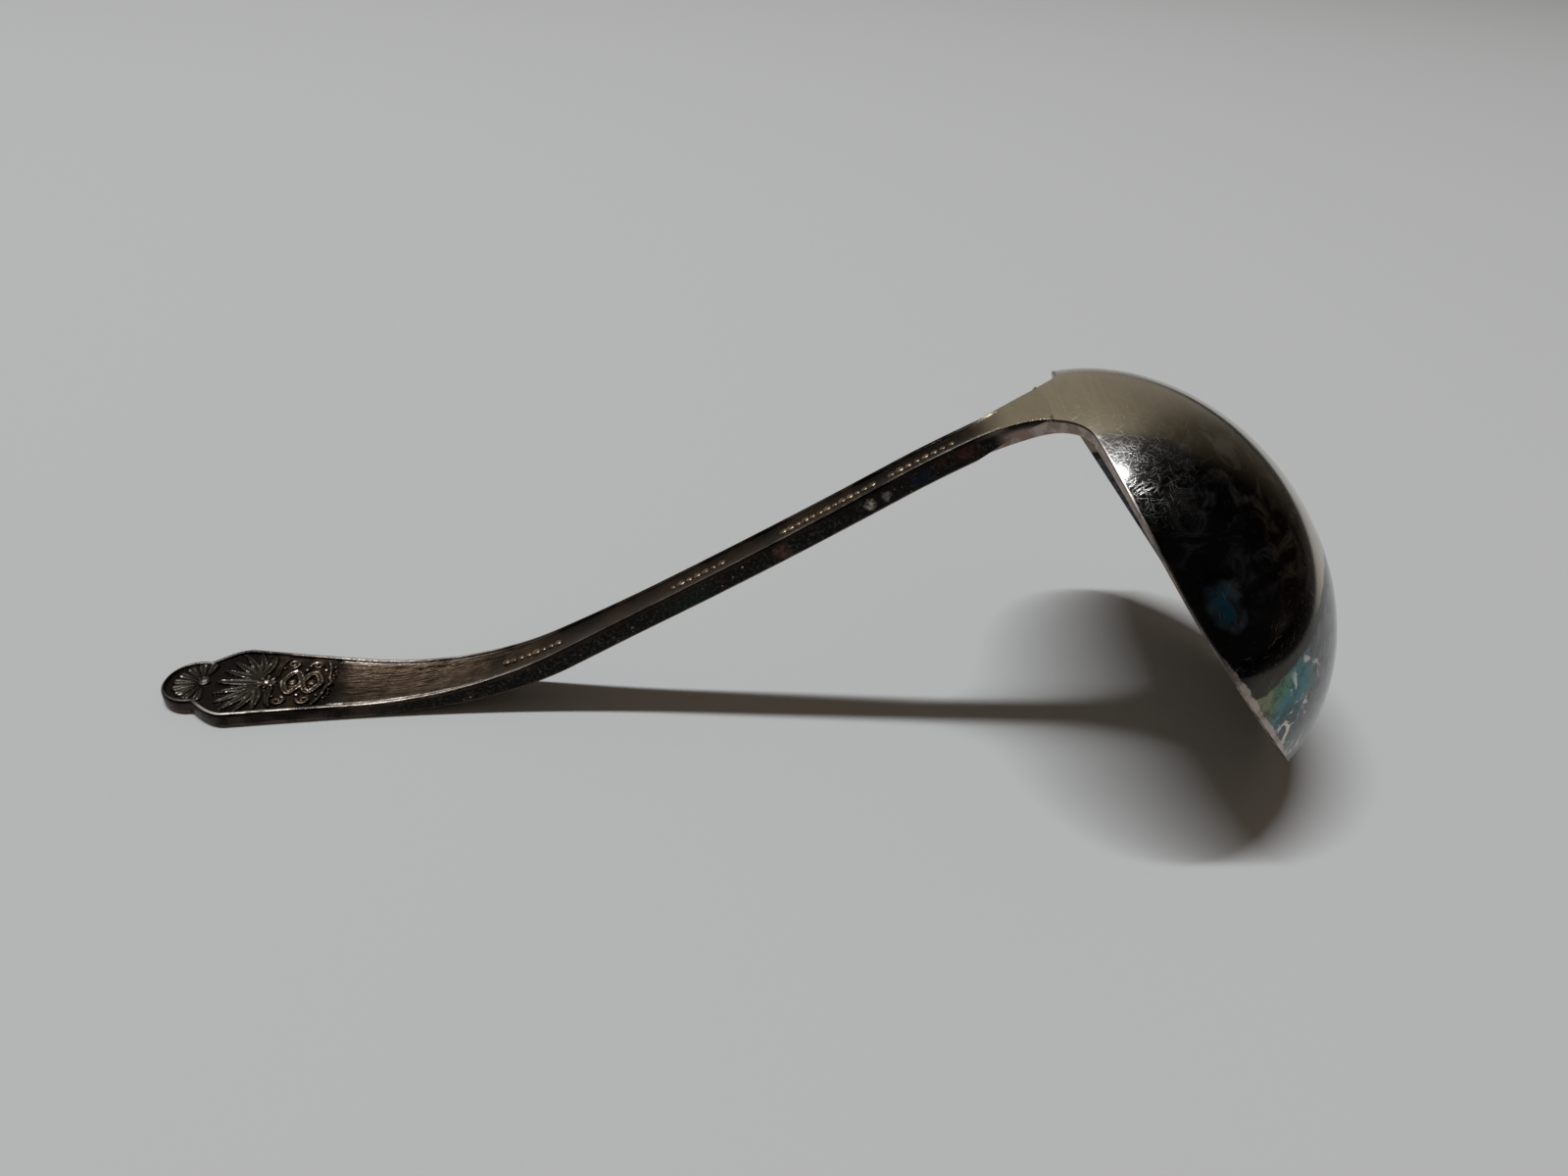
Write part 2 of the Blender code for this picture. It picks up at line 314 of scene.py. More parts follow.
    def spine(self, from_root: float) -> tuple[np.ndarray, float]:
        """Point on top of the handle at a distance from the neck's root, and its slope."""
        arcs = self.upper_arcs + [
            (self.shank_slope, self.shank_length), (0.0, self.bend_length), (0.0, self.terminal_length),
        ]
        return self.walk_arcs(arcs, from_root)

    def handle_half(self, along: float) -> float:
        """Half the handle's width at a distance from its tip."""
        if along < self.lobe_centre:
            return self.lobe_width / 2 * math.sqrt(1 - (1 - along / self.lobe_centre) ** 2)
        if along < self.notch_from_tip:
            t = (along - self.lobe_centre) / (self.notch_from_tip - self.lobe_centre)
            return (self.lobe_width + (self.notch_width - self.lobe_width) * smooth(t)) / 2
        if along < self.shoulder_from_tip:
            t = (along - self.notch_from_tip) / (self.shoulder_from_tip - self.notch_from_tip)
            rise = (self.shoulder_width - self.notch_width) * math.sin(math.pi / 2 * t)
            return (self.notch_width + rise) / 2
        t = (along - self.shoulder_from_tip) / self.taper_length
        wide = self.shoulder_width - self.shank_width
        if t < 1:
            return (self.shank_width + wide * (1 - t) ** self.taper_power) / 2
        waist = self.handle_length - self.neck_length
        taper_end = self.shoulder_from_tip + self.taper_length
        if along < waist:
            t = smooth((along - taper_end) / (waist - taper_end))
            return (self.shank_width + (self.waist_width - self.shank_width) * t) / 2
        return self.neck_half(self.handle_length - along)

    def handle_thickness(self, along: float) -> float:
        """Thickness of the handle at a distance from its tip."""
        bend = smooth((along - self.terminal_length) / self.bend_length)
        return self.terminal_thickness + (self.shank_thickness - self.terminal_thickness) * bend

    def scarf(self) -> Matrix:
        """Frame on the scarf joint: X down its slope, Y across, Z towards the handle."""
        place, slope = self.spine(self.scarf_from_root)
        lean = slope + self.scarf_angle
        down = Vector((-math.cos(lean), 0, -math.sin(lean)))
        face = Vector((-math.sin(lean), 0, math.cos(lean)))
        return placed(down, Vector((0, -1, 0)), face, Vector(place + self.shift))


FORM = LadleForm()


# Mesh helpers


def new_object(name: str, data: bpy.types.ID) -> bpy.types.Object:
    """Link a new object that holds a mesh, a lamp or a camera."""
    thing = bpy.data.objects.new(name, data)
    bpy.context.scene.collection.objects.link(thing)
    return thing


def grid_faces(rows: int, columns: int, first: int = 0, closed: bool = False) -> list[tuple]:
    """Quads of a grid of vertices that are numbered row by row.

    Args:
        rows: Number of rows.
        columns: Number of vertices in a row.
        first: Number of the first vertex.
        closed: Whether each row is a ring.

    Returns:
        Four vertex numbers for each quad.
    """
    faces = []
    for row in range(rows - 1):
        for column in range(columns if closed else columns - 1):
            after = (column + 1) % columns
            one, two = first + row * columns, first + (row + 1) * columns
            faces.append((one + column, two + column, two + after, one + after))
    return faces


def tube_faces(rows: int, columns: int) -> list[tuple]:
    """Faces of a row of rings, with both ends closed."""
    last = (rows - 1) * columns
    ends = [tuple(range(columns)), tuple(range(last, last + columns))]
    return grid_faces(rows, columns, closed=True) + ends


def make_mesh(name: str, points: np.ndarray, faces: Iterable[Sequence[int]]) -> bpy.types.Mesh:
    """Mesh with outward faces from points and faces."""
    mesh = bpy.data.meshes.new(name)
    mesh.from_pydata(points.reshape(-1, 3).tolist(), [], list(faces))
    shape = bmesh.new()
    shape.from_mesh(mesh)
    bmesh.ops.recalc_face_normals(shape, faces=shape.faces)
    shape.to_mesh(mesh)
    shape.free()
    return mesh


def apply_modifiers(thing: bpy.types.Object) -> None:
    """Turn an object with modifiers into a plain mesh."""
    depsgraph = bpy.context.evaluated_depsgraph_get()
    plain = bpy.data.meshes.new_from_object(thing.evaluated_get(depsgraph))
    thing.modifiers.clear()
    thing.vertex_groups.clear()
    thing.data = plain


def cut_open(mesh: bpy.types.Mesh, place: Vector, face: Vector) -> None:
    """Cut away the part of a closed mesh that lies on the face's side, and close the cut."""
    shape = bmesh.new()
    shape.from_mesh(mesh)
    bmesh.ops.bisect_plane(
        shape, geom=shape.verts[:] + shape.edges[:] + shape.faces[:], dist=1e-7,
        plane_co=place, plane_no=face, clear_outer=True,
    )
    border = [edge for edge in shape.edges if edge.is_boundary]
    bmesh.ops.edgeloop_fill(shape, edges=border)
    bmesh.ops.recalc_face_normals(shape, faces=shape.faces)
    shape.to_mesh(mesh)
    shape.free()


def coordinates(mesh: bpy.types.Mesh) -> np.ndarray:
    """Vertex positions of a mesh as an array."""
    flat = np.empty(len(mesh.vertices) * 3, dtype=np.float32)
    mesh.vertices.foreach_get("co", flat)
    return flat.reshape(-1, 3).astype(float)


def set_attribute(mesh: bpy.types.Mesh, name: str, values: np.ndarray, domain: str = "POINT") -> None:
    """Store one number per vertex or face under a name that materials can read."""
    layer = mesh.attributes.new(name, "FLOAT", domain)
    layer.data.foreach_set("value", np.asarray(values, dtype=np.float32))


def set_uv(mesh: bpy.types.Mesh, flat: np.ndarray) -> None:
    """Store a UV map from one flat place per vertex."""
    layer = mesh.uv_layers.new(name="UVMap")
    corner = np.empty(len(mesh.loops), dtype=np.int32)
    mesh.loops.foreach_get("vertex_index", corner)
    layer.data.foreach_set("uv", flat[corner].astype(np.float32).ravel())


def shade(mesh: bpy.types.Mesh, sharp: float = 40.0) -> None:
    """Smooth shading with edges sharper than an angle in degrees kept."""
    mesh.shade_smooth()
    mesh.set_sharp_from_angle(angle=math.radians(sharp))


# Node helper


class Graph:
    """Small builder for the nodes of a finish, of the room or of a repeat."""

    def __init__(self, tree: bpy.types.NodeTree) -> None:
        """Take the tree that the nodes go into."""
        self.nodes = tree.nodes
        self.links = tree.links

    def put(self, socket: Socket, value: Source) -> None:
        """Link a socket or set its value."""
        if isinstance(value, Socket):
            self.links.new(value, socket)
        elif isinstance(value, tuple) and socket.type == "RGBA":
            socket.default_value = (*value, 1)
        else:
            socket.default_value = value

    def node(self, kind: str, output: str | int, inputs: Inputs, **options: str) -> Socket:
        """Add a node.

        Args:
            kind: Type of the node.
            output: Name or number of the output that is wanted.
            inputs: What its inputs are linked or set to, by name or number.
            options: Settings of the node.

        Returns:
            The output.
        """
        node = self.nodes.new(kind)
        for name, option in options.items():
            setattr(node, name, option)
        for key, value in inputs.items():
            self.put(node.inputs[key], value)
        return node.outputs[output]

    def set(self, shader: str, **values: Source) -> None:
        """Set or link the sockets of a shader that is there, by name, with _ for a space."""
        for name, value in values.items():
            self.put(self.nodes[shader].inputs[name.replace("_", " ")], value)

    def place(self, kind: str) -> Socket:
        """Coordinates of a kind: Object, UV or Generated."""
        return self.node("ShaderNodeTexCoord", kind, {})

    def ray(self, name: str) -> Socket:
        """Whether the ray that meets the surface is of a kind."""
        return self.node("ShaderNodeLightPath", name, {})

    def attribute(self, name: str) -> Socket:
        """A named number stored on the mesh."""
        return self.node("ShaderNodeAttribute", "Fac", {}, attribute_name=name)

    def scaled(self, vector: Socket, scale: tuple) -> Socket:
        """A vector scaled along each axis."""
        return self.node("ShaderNodeMapping", "Vector", {"Vector": vector, "Scale": scale})

    def turned(self, vector: Socket, degrees: float) -> Socket:
        """A flat vector turned about the third axis."""
        inputs = {"Vector": vector, "Angle": math.radians(degrees)}
        return self.node("ShaderNodeVectorRotate", "Vector", inputs, rotation_type="Z_AXIS")

    def warped(self, vector: Socket, scale: float, amount: float) -> Socket:
        """A vector pushed about by slow noise, so that lines along it bend."""
        noise = self.node("ShaderNodeTexNoise", "Color", {"Vector": vector, "Scale": scale})
        inputs = {0: noise, 1: (amount, amount, amount), 2: vector}
        return self.node("ShaderNodeVectorMath", "Vector", inputs, operation="MULTIPLY_ADD")

    def noise(self, vector: Socket, scale: float, detail: float = 4.0, rough: float = 0.55,
              warp: float = 0.0) -> Socket:
        """Noise value at a scale."""
        return self.node("ShaderNodeTexNoise", "Fac", {
            "Vector": vector, "Scale": scale, "Detail": detail, "Roughness": rough, "Distortion": warp,
        })

    def cells(self, vector: Socket, scale: float) -> Socket:
        """Distance to the nearest point of a random scatter."""
        return self.node("ShaderNodeTexVoronoi", "Distance", {"Vector": vector, "Scale": scale})

    def scratches(self, flat: Socket, degrees: float, length: float, width: float,
                  low: float, high: float, lift: Source = 0.0) -> Socket:
        """Thin lines that run one way.

        Args:
            flat: Flat coordinates in metres.
            degrees: Direction of the lines.
            length: Usual length of a line.
            width: Usual width of a line.
            low: Noise value at which a line begins to show.
            high: Noise value at which it shows fully.
            lift: Value added to the noise where lines stand closer.

        Returns:
            Mask that is 1 on the lines.
        """
        lines = self.scaled(self.turned(flat, degrees), (1 / length, 1 / width, 1))
        return self.span(self.plus(self.noise(lines, 1.0, 2.0, 0.5), lift), low, high)

    def math(self, operation: str, one: Source, two: Source = 0.0) -> Socket:
        """Arithmetic on two values."""
        return self.node("ShaderNodeMath", 0, {0: one, 1: two}, operation=operation)

    def times(self, one: Source, two: Source) -> Socket:
        """Product of two values."""
        return self.math("MULTIPLY", one, two)

    def plus(self, one: Source, two: Source) -> Socket:
        """Sum of two values."""
        return self.math("ADD", one, two)

    def most(self, one: Source, two: Source) -> Socket:
        """Greater of two values."""
        return self.math("MAXIMUM", one, two)

    def rest(self, value: Source) -> Socket:
        """What a value lacks to 1."""
        return self.math("SUBTRACT", 1.0, value)

    def span(self, value: Source, low: float, high: float, out_low: float = 0.0,
             out_high: float = 1.0) -> Socket:
        """Map low to high smoothly onto out_low to out_high."""
        inputs = {"Value": value, "From Min": low, "From Max": high, "To Min": out_low, "To Max": out_high}
        return self.node("ShaderNodeMapRange", "Result", inputs, interpolation_type="SMOOTHSTEP")

    def part(self, vector: Socket, axis: str) -> Socket:
        """One coordinate of a vector."""
        return self.node("ShaderNodeSeparateXYZ", axis, {0: vector})

    def far_from(self, vector: Socket, place: Point) -> Socket:
        """Distance from a place."""
        return self.node("ShaderNodeVectorMath", "Value", {0: vector, 1: place}, operation="DISTANCE")

    def patch(self, vector: Socket, place: Point, radius: float, soft: float = 0.7) -> Socket:
        """Mask that is 1 in the middle of a round patch and fades over its outer share."""
        return self.span(self.far_from(vector, place), radius, radius * (1 - soft))

    def mix(self, share: Source, one: Source, two: Source) -> Socket:
        """Mix two colours."""
        return self.node("ShaderNodeMix", 2, {0: share, 6: one, 7: two}, data_type="RGBA")

    def ramp(self, value: Source, stops: Sequence[tuple[float, Colour]]) -> Socket:
        """Colours along a value."""
        colours = self.node("ShaderNodeValToRGB", "Color", {0: value})
        elements = colours.node.color_ramp.elements
        while len(elements) < len(stops):
            elements.new(1.0)
        for element, (place, colour) in zip(elements, stops):
            element.position = place
            element.color = (*colour, 1)
        return colours

    def relief(self, height: Socket, distance: float, strength: float = 1.0,
               below: Socket | None = None) -> Socket:
        """Bump from a height value, over another bump if one is given."""
        inputs = {"Strength": strength, "Distance": distance, "Height": height}
        if below is not None:
            inputs["Normal"] = below
        return self.node("ShaderNodeBump", "Normal", inputs)


def new_material(name: str) -> tuple[bpy.types.Material, Graph]:
    """Start a material, with a builder for its nodes."""
    material = bpy.data.materials.new(name)
    material.use_nodes = True
    return material, Graph(material.node_tree)


# Finishes


@dataclass(frozen=True)
class BowlFinish:
    """Silver plate on the bowl: satin neck, mirror, stains of many colours and a worn rim."""

    form: LadleForm = FORM
    silver: Colour = (0.56, 0.52, 0.45)
    dull: Colour = (0.47, 0.415, 0.315)
    brown: Colour = (0.20, 0.15, 0.09)
    rim: Colour = (0.30, 0.210, 0.172)
    rim_dark: Colour = (0.040, 0.032, 0.028)
    rim_worn: Colour = (0.48, 0.40, 0.35)
    soot: Colour = (0.150, 0.150, 0.155)
    # Near black, for the stains' border and for the dark line along the edge.
    grime: Colour = (0.010, 0.008, 0.007)
    flake: Colour = (0.60, 0.58, 0.54)
    blue: Colour = (0.006, 0.038, 0.070)
    sea: Colour = (0.012, 0.030, 0.030)
    teal: Colour = (0.055, 0.185, 0.205)
    green: Colour = (0.120, 0.205, 0.125)
    olive: Colour = (0.230, 0.220, 0.130)
    violet: Colour = (0.165, 0.158, 0.176)
    slate: Colour = (0.090, 0.097, 0.097)
    mirror_rough: Range = (0.085, 0.135)
    satin_rough: float = 0.16
    soot_rough: float = -0.04
    worked_rough: float = 0.05
    worn_rough: float = 0.22
    scratch_rough: float = 0.20
    film_level: float = -3.9 * MM
    film_fall: float = 0.5
    push: float = 3.0 * MM

    def blot(self, g: Graph, place: Socket, angle: float, height: float, radius: float,
             soft: float = 0.55) -> Socket:
        """Patch round a spot on the bowl, in coordinates pushed towards higher values.

        Args:
            g: Builder of the material.
            place: Coordinates that were warped by up to twice the push.
            angle: Degrees of the spot from the neck.
            height: Millimetres of the spot over the rim's plane.
            radius: Radius of the patch.
            soft: Share of the radius over which it fades.

        Returns:
            Mask of the patch.
        """
        spot = Vector(self.form.spot(angle, height)) + self.push * Vector((1, 1, 1))
        return g.patch(place, tuple(spot), radius, soft)

    def stains(self, g: Graph, place: Socket, base: Socket) -> Socket:
        """Lay the film and the coloured stains of the bowl's low end over a base colour.

        Args:
            g: Builder of the material.
            place: Object coordinates.
            base: Colour under the stains.

        Returns:
            The stained colour.
        """
        bent = g.warped(place, 160, 2 * self.push)
        shaken = g.warped(g.warped(place, 90, 3.0 * MM), 600, 1.0 * MM)
        ragged = g.noise(place, 330, 4, 0.7, 0.8)
        crumbs = g.noise(place, 900, 4, 0.75, 0.5)
        level = g.plus(g.part(shaken, "Z"), g.times(g.part(shaken, "X"), -self.film_fall))

        def below(high: float, low: float) -> Socket:
            """Where the level falls through two heights over the film's, in mm."""
            return g.span(level, self.film_level + high * MM, self.film_level + low * MM)

        film = below(0.15, -0.15)
        low_end = g.patch(place, self.form.spot(-91, 3.0), 20 * MM, 0.5)
        border = g.most(g.times(below(6.4, 5.0), low_end), below(2.2, 1.6))
        shade = g.mix(g.span(ragged, 0.45, 0.62), self.grime, self.sea)
        base = g.mix(g.times(border, 0.9), base, shade)
        clouded = g.mix(g.span(ragged, 0.38, 0.62), self.slate, self.violet)
        clouded = g.mix(g.span(crumbs, 0.52, 0.66, 0.0, 0.75), clouded, self.rim_dark)
        for colour, angle, height, radius, share in (
            (self.teal, -98, 6.2, 5.6 * MM, 0.95),
            (self.teal, -103, 3.6, 4.2 * MM, 0.90),
            (self.green, -93, 3.0, 4.6 * MM, 0.90),
            (self.olive, -93, 0.8, 3.0 * MM, 0.85),
            (self.rim_dark, -105.5, 3.2, 3.0 * MM, 0.60),
            (self.slate, -108, 1.2, 4.0 * MM, 0.75),
        ):
            mottle = g.span(crumbs, 0.66, 0.44, 0.35, share)
            clouded = g.mix(g.times(self.blot(g, bent, angle, height, radius), mottle), clouded, colour)
        spots = g.span(g.noise(place, 430, 5, 0.75, 0.4), 0.52, 0.61, 0.0, 0.55)
        base = g.mix(film, base, g.mix(spots, clouded, self.rim_dark))
        for angle, height, radius in ((-101, 7.4, 4.6), (-107, 3.4, 5.0), (-115, 2.0, 4.4)):
            near = g.times(g.patch(place, self.form.spot(angle, height), radius * MM, 0.6), film)
            base = g.mix(g.times(g.span(ragged, 0.555, 0.595), near), base, self.flake)
        return base

    def lake(self, g: Graph, place: Socket, base: Socket) -> tuple[Socket, Socket]:
        """Lay the dark blue patch with its green border over a base colour.

        Args:
            g: Builder of the material.
            place: Object coordinates.
            base: Colour under the patch.

        Returns:
            The colour and a mask of the patch's core.
        """
        bent = g.warped(g.warped(place, 160, 4.0 * MM), 500, 2.0 * MM)
        broken = g.span(g.noise(place, 450, 4, 0.7, 0.6), 0.36, 0.60, 0.25, 1.0)
        shore = g.most(self.blot(g, bent, -62, 3.8, 4.6 * MM, 0.9),
                       self.blot(g, bent, -69, 3.4, 4.6 * MM, 0.9))
        deep = g.most(self.blot(g, bent, -66, 4.3, 3.2 * MM, 0.85),
                      self.blot(g, bent, -70, 3.7, 2.7 * MM, 0.85))
        deep = g.times(deep, broken)
        base = g.mix(g.times(shore, 0.85), base, self.sea)
        return g.mix(deep, base, self.blue), deep

    def edge_colour(self, g: Graph, place: Socket, fine: Socket, base: Socket) -> tuple[Socket, Socket]:
        """Colour of the worn border of the sheet, of its edge and of a dark line along it, which is painted
        shade by the neck.

        Args:
            g: Builder of the material.
            place: Object coordinates.
            fine: Fine noise.
            base: Colour of the sheet.

        Returns:
            The colour, and a mask of the worn places.
        """
        edge, lip, neck = g.attribute("edge"), g.attribute("lip"), g.attribute("neck")
        low_end = g.patch(place, self.form.spot(-96, 0.3), 13 * MM, 0.5)
        reach = g.plus(g.times(g.times(low_end, fine), 0.11), g.times(fine, 0.03))
        worn = g.span(g.math("SUBTRACT", edge, reach), 0.015, 0.0)
        worn = g.times(worn, g.rest(neck))
        base = g.mix(g.times(worn, g.span(fine, 0.35, 0.6, 0.45, 0.95)), base, self.rim_worn)
        root = g.patch(place, self.form.spot(0, 1.8), 27 * MM, 0.5)
        flat = g.span(lip, 0.75, 0.95)
        face = g.mix(g.span(fine, 0.40, 0.62), self.rim_dark, self.brown)
        face = g.mix(g.times(low_end, g.span(fine, 0.45, 0.60)), face, self.dull)
        face = g.mix(root, face, g.mix(g.span(fine, 0.42, 0.60), self.rim, self.rim_worn))
        base = g.mix(flat, base, face)
        # Dark line: painted shade along the arris by the neck, and a dark line along the rim face by the
        # root.
        line = g.times(g.patch(lip, (0.5, 0.5, 0.5), 0.3, 0.5), g.span(neck, 0.15, 0.6))
        line = g.most(line, g.times(g.times(flat, root), g.span(edge, 0.045, 0.032)))
        return g.mix(line, base, self.grime), g.most(worn, lip)

    def build(self) -> bpy.types.Material:
        """Make the material."""
        material, g = new_material(Slot.BOWL.value)
        place, uv = g.place("Object"), g.place("UV")
        cloud = g.noise(place, 60, 5, 0.6, 0.6)
        fine = g.noise(place, 520, 4, 0.65)
        neck = g.attribute("neck")
        bent = g.warped(uv, 120, 3.0 * MM)
        sooty = g.patch(g.warped(place, 220, 2.0 * MM), self.form.spot(-50, -3.0), 21.2 * MM, 0.09)
        worked = g.patch(place, self.form.spot(-26, 4.6), 13.5 * MM, 0.5)
        rubbed = g.times(worked, g.span(sooty, 0.0, 1.0, 0.022, 0.070))
        scratch = g.scratches(bent, 6, 2.6 * MM, 0.08 * MM, 0.68, 0.75, rubbed)
        for degrees, length in ((41, 2.0), (-49, 2.2), (80, 1.7), (-17, 2.4)):
            more = g.scratches(bent, degrees, length * MM, 0.07 * MM, 0.69, 0.76, rubbed)
            scratch = g.most(scratch, more)
        brushed = g.scratches(uv, 2, 7.0 * MM, 0.30 * MM, 0.35, 0.70)

        base = g.mix(g.span(g.plus(cloud, g.times(fine, 0.25)), 0.45, 0.85), self.silver, self.dull)
        base = g.mix(neck, base, self.dull)
        base = g.mix(g.times(brushed, 0.15), base, self.brown)
        warm = g.patch(place, self.form.spot(-55, 12.0), 17 * MM, 0.6)
        base = g.mix(g.times(warm, 0.75), base, self.brown)
        base = g.mix(g.times(sooty, 0.9), base, self.soot)
        base = self.stains(g, place, base)
        base, lake = self.lake(g, place, base)
        base = g.mix(g.times(scratch, 0.28), base, self.flake)
        base, worn = self.edge_colour(g, place, fine, base)

        rough = g.span(cloud, 0.3, 0.8, *self.mirror_rough)
        for mask, more in (
            (neck, self.satin_rough), (sooty, self.soot_rough), (g.times(worked, sooty), self.worked_rough),
            (worn, self.worn_rough), (scratch, self.scratch_rough),
        ):
            rough = g.plus(rough, g.times(mask, more))
        normal = g.relief(scratch, 0.02 * MM, 0.16)
        normal = g.relief(brushed, 0.01 * MM, 0.12, normal)
        plain = g.times(g.span(g.attribute("lip"), 0.75, 0.95), 0.6)
        streaky = g.span(g.noise(g.scaled(place, (1, 1, 1.6)), 170, 5, 0.7, 1.2), 0.44, 0.64)
        smear = g.times(g.patch(place, self.form.spot(-48, 13.0), 20 * MM, 0.7), streaky)
        dull = g.most(g.times(lake, 0.5), g.times(smear, 0.07))
        metal = g.rest(g.most(dull, plain))
        g.set(SHADER, Base_Color=base, Roughness=rough, Metallic=metal, Normal=normal)
        return material


@dataclass(frozen=True)
class HandleFinish:
    """Heavy brown-black tarnish on the handle, rubbed bright on threads and ornament, with painted
    highlights and glints there, a painted reddish reflection on the terminal's sides and painted shade along
    the neck's edges.
    """

    black: Colour = (0.011, 0.009, 0.008)
    brown: Colour = (0.060, 0.036, 0.024)
    tan: Colour = (0.21, 0.148, 0.100)
    bronze: Colour = (0.115, 0.084, 0.058)
    pewter: Colour = (0.082, 0.078, 0.066)
    # Rubbed silver, also the colour of the painted highlights and glints.
    bright: Colour = (0.66, 0.61, 0.56)
    speck: Colour = (0.036, 0.045, 0.037)
    red: Colour = (0.060, 0.016, 0.012)
    russet_and_reflection: Colour = (0.052, 0.033, 0.027)
    husk: Colour = (0.30, 0.235, 0.165)
    fleck: Colour = (0.40, 0.33, 0.26)
    neck: Colour = (0.47, 0.415, 0.315)
    rim: Colour = (0.30, 0.210, 0.172)
    tarnish_rough: Range = (0.24, 0.40)
    rubbed_rough: float = 0.12
    satin_rough: float = -0.05
    terminal: Range = (-48 * MM, -58 * MM)
    tip: Range = (-64 * MM, -74 * MM)
    marks_across: float = -1.6 * MM
    # Stains on the near side of the shank: X, Z and radius in mm, share and colour
    marks: tuple[tuple[float, float, float, float, Colour], ...] = (
        (-7.5, 21.2, 6.5, 0.45, (0.016, 0.030, 0.022)),
        (6.0, 28.3, 1.7, 0.80, (0.110, 0.052, 0.040)),
        (17.4, 36.0, 1.0, 1.00, (0.420, 0.360, 0.310)),
        (19.4, 37.2, 1.0, 0.60, (0.240, 0.230, 0.215)),
        (23.8, 40.4, 2.2, 0.75, (0.010, 0.017, 0.040)),
        (26.0, 43.2, 1.7, 0.65, (0.075, 0.024, 0.019)),
        (29.1, 44.6, 2.4, 0.70, (0.085, 0.030, 0.024)),
    )

    def flank(self, g: Graph, place: Socket, cloud: Socket, patchy: Socket,
              at_end: Socket) -> tuple[Socket, Socket]:
        """Colour of the sides: russet tarnish with a painted reddish reflection on the terminal, black with
        fine specks on the shank.

        Args:
            g: Builder of the material.
            place: Object coordinates.
            cloud: Slow noise.
            patchy: Quicker noise.
            at_end: Mask of the terminal.

        Returns:
            The colour, and a mask of the specks.
        """
        specks = g.span(g.noise(place, 2300, 3, 0.7), 0.50, 0.64)
        pits = g.span(g.cells(g.warped(place, 700, 0.6 * MM), 1100), 0.22, 0.08)
        shank = g.mix(g.times(specks, g.span(cloud, 0.35, 0.6, 0.35, 1.0)), self.black, self.speck)
        shank = g.mix(g.span(patchy, 0.60, 0.72, 0.0, 0.7), shank, self.red)
        shank = g.mix(g.times(pits, g.span(patchy, 0.54, 0.66, 0.0, 0.6)), shank, self.bright)
        torn = g.warped(g.warped(place, 420, 1.4 * MM), 1500, 0.6 * MM)
        crumbs = g.span(g.noise(place, 1300, 3, 0.7), 0.40, 0.58, 0.15, 1.0)
        for x, z, radius, share, colour in self.marks:
            near = g.patch(torn, (x * MM, self.marks_across, z * MM), radius * MM)
            shank = g.mix(g.times(g.times(near, crumbs), share), shank, colour)
        # Terminal sides: russet tarnish with a painted reddish reflection.
        end = g.mix(g.span(patchy, 0.38, 0.62), self.black, self.russet_and_reflection)
        return g.mix(at_end, shank, end), g.most(specks, pits)

    def build(self) -> bpy.types.Material:
        """Make the material."""
        material, g = new_material(Slot.HANDLE.value)
        place, uv = g.place("Object"), g.place("UV")
        cloud = g.noise(place, 90, 5, 0.6, 0.4)
        patchy = g.noise(place, 260, 4, 0.65, 0.5)
        fine = g.noise(place, 1100, 4, 0.65)
        height, panel = g.attribute("relief"), g.attribute("panel")
        side, neck, thread = g.attribute("side"), g.attribute("neck"), g.attribute("thread")

        at_tip = g.span(g.part(place, "X"), *self.tip)
        at_end = g.span(g.part(place, "X"), *self.terminal)
        base = g.mix(g.span(cloud, 0.38, 0.70), self.black, g.mix(at_tip, self.brown, self.black))
        streak = g.scratches(uv, 0, 3.2 * MM, 0.13 * MM, 0.50, 0.64)
        wide = g.scratches(uv, 0, 7.0 * MM, 0.6 * MM, 0.42, 0.66)
        rubbed = g.times(g.most(g.times(wide, 0.40), streak), panel)
        rubbed = g.times(rubbed, g.span(patchy, 0.30, 0.55, 0.25, 1.0))
        base = g.mix(rubbed, base, self.tan)
        flecks = g.scratches(uv, 7, 1.1 * MM, 0.07 * MM, 0.58, 0.68)
        flecks = g.times(g.times(flecks, panel), g.span(patchy, 0.40, 0.60))
        base = g.mix(flecks, base, self.fleck)
        high = g.span(g.plus(height, g.times(fine, 0.35)), 0.65, 1.12)
        base = g.mix(g.times(high, 0.9), base, g.mix(at_tip, self.bronze, self.pewter))
        # Ornament peaks painted bright: rubbed wear, with small painted glints where the noise is high.
        spark = g.noise(place, 1500, 3, 0.6)
        glint_and_wear = g.times(g.span(g.plus(height, g.times(spark, 1.2)), 1.46, 1.58), 0.95)
        base = g.mix(glint_and_wear, base, self.bright)
        # Threads painted bright: rubbed wear, with a painted highlight of the lamp along their crests.
        base = g.mix(g.times(thread, g.span(cloud, 0.38, 0.58, 0.20, 1.0)), base, self.bright)
        base = g.mix(g.times(g.attribute("husk"), g.span(fine, 0.38, 0.58, 0.15, 1.0)), base, self.husk)
        sides, specks = self.flank(g, place, cloud, patchy, at_end)
        base = g.mix(side, base, sides)
        # Lower arrises painted lighter: a painted highlight of the light that the lower arris catches.
        worn = g.mix(at_end, self.tan, self.fleck)
        base = g.mix(g.times(g.attribute("arris"), g.span(patchy, 0.35, 0.6, 0.1, 0.8)), base, worn)
        brushed = g.scratches(uv, 0, 7.0 * MM, 0.30 * MM, 0.35, 0.70)
        base = g.mix(neck, base, g.mix(g.times(brushed, 0.20), self.neck, self.tan))
        base = g.mix(g.attribute("rim"), base, self.rim)
        # Painted shade: a black line along the edges of the plain neck.
        base = g.mix(g.attribute("line"), base, self.black)

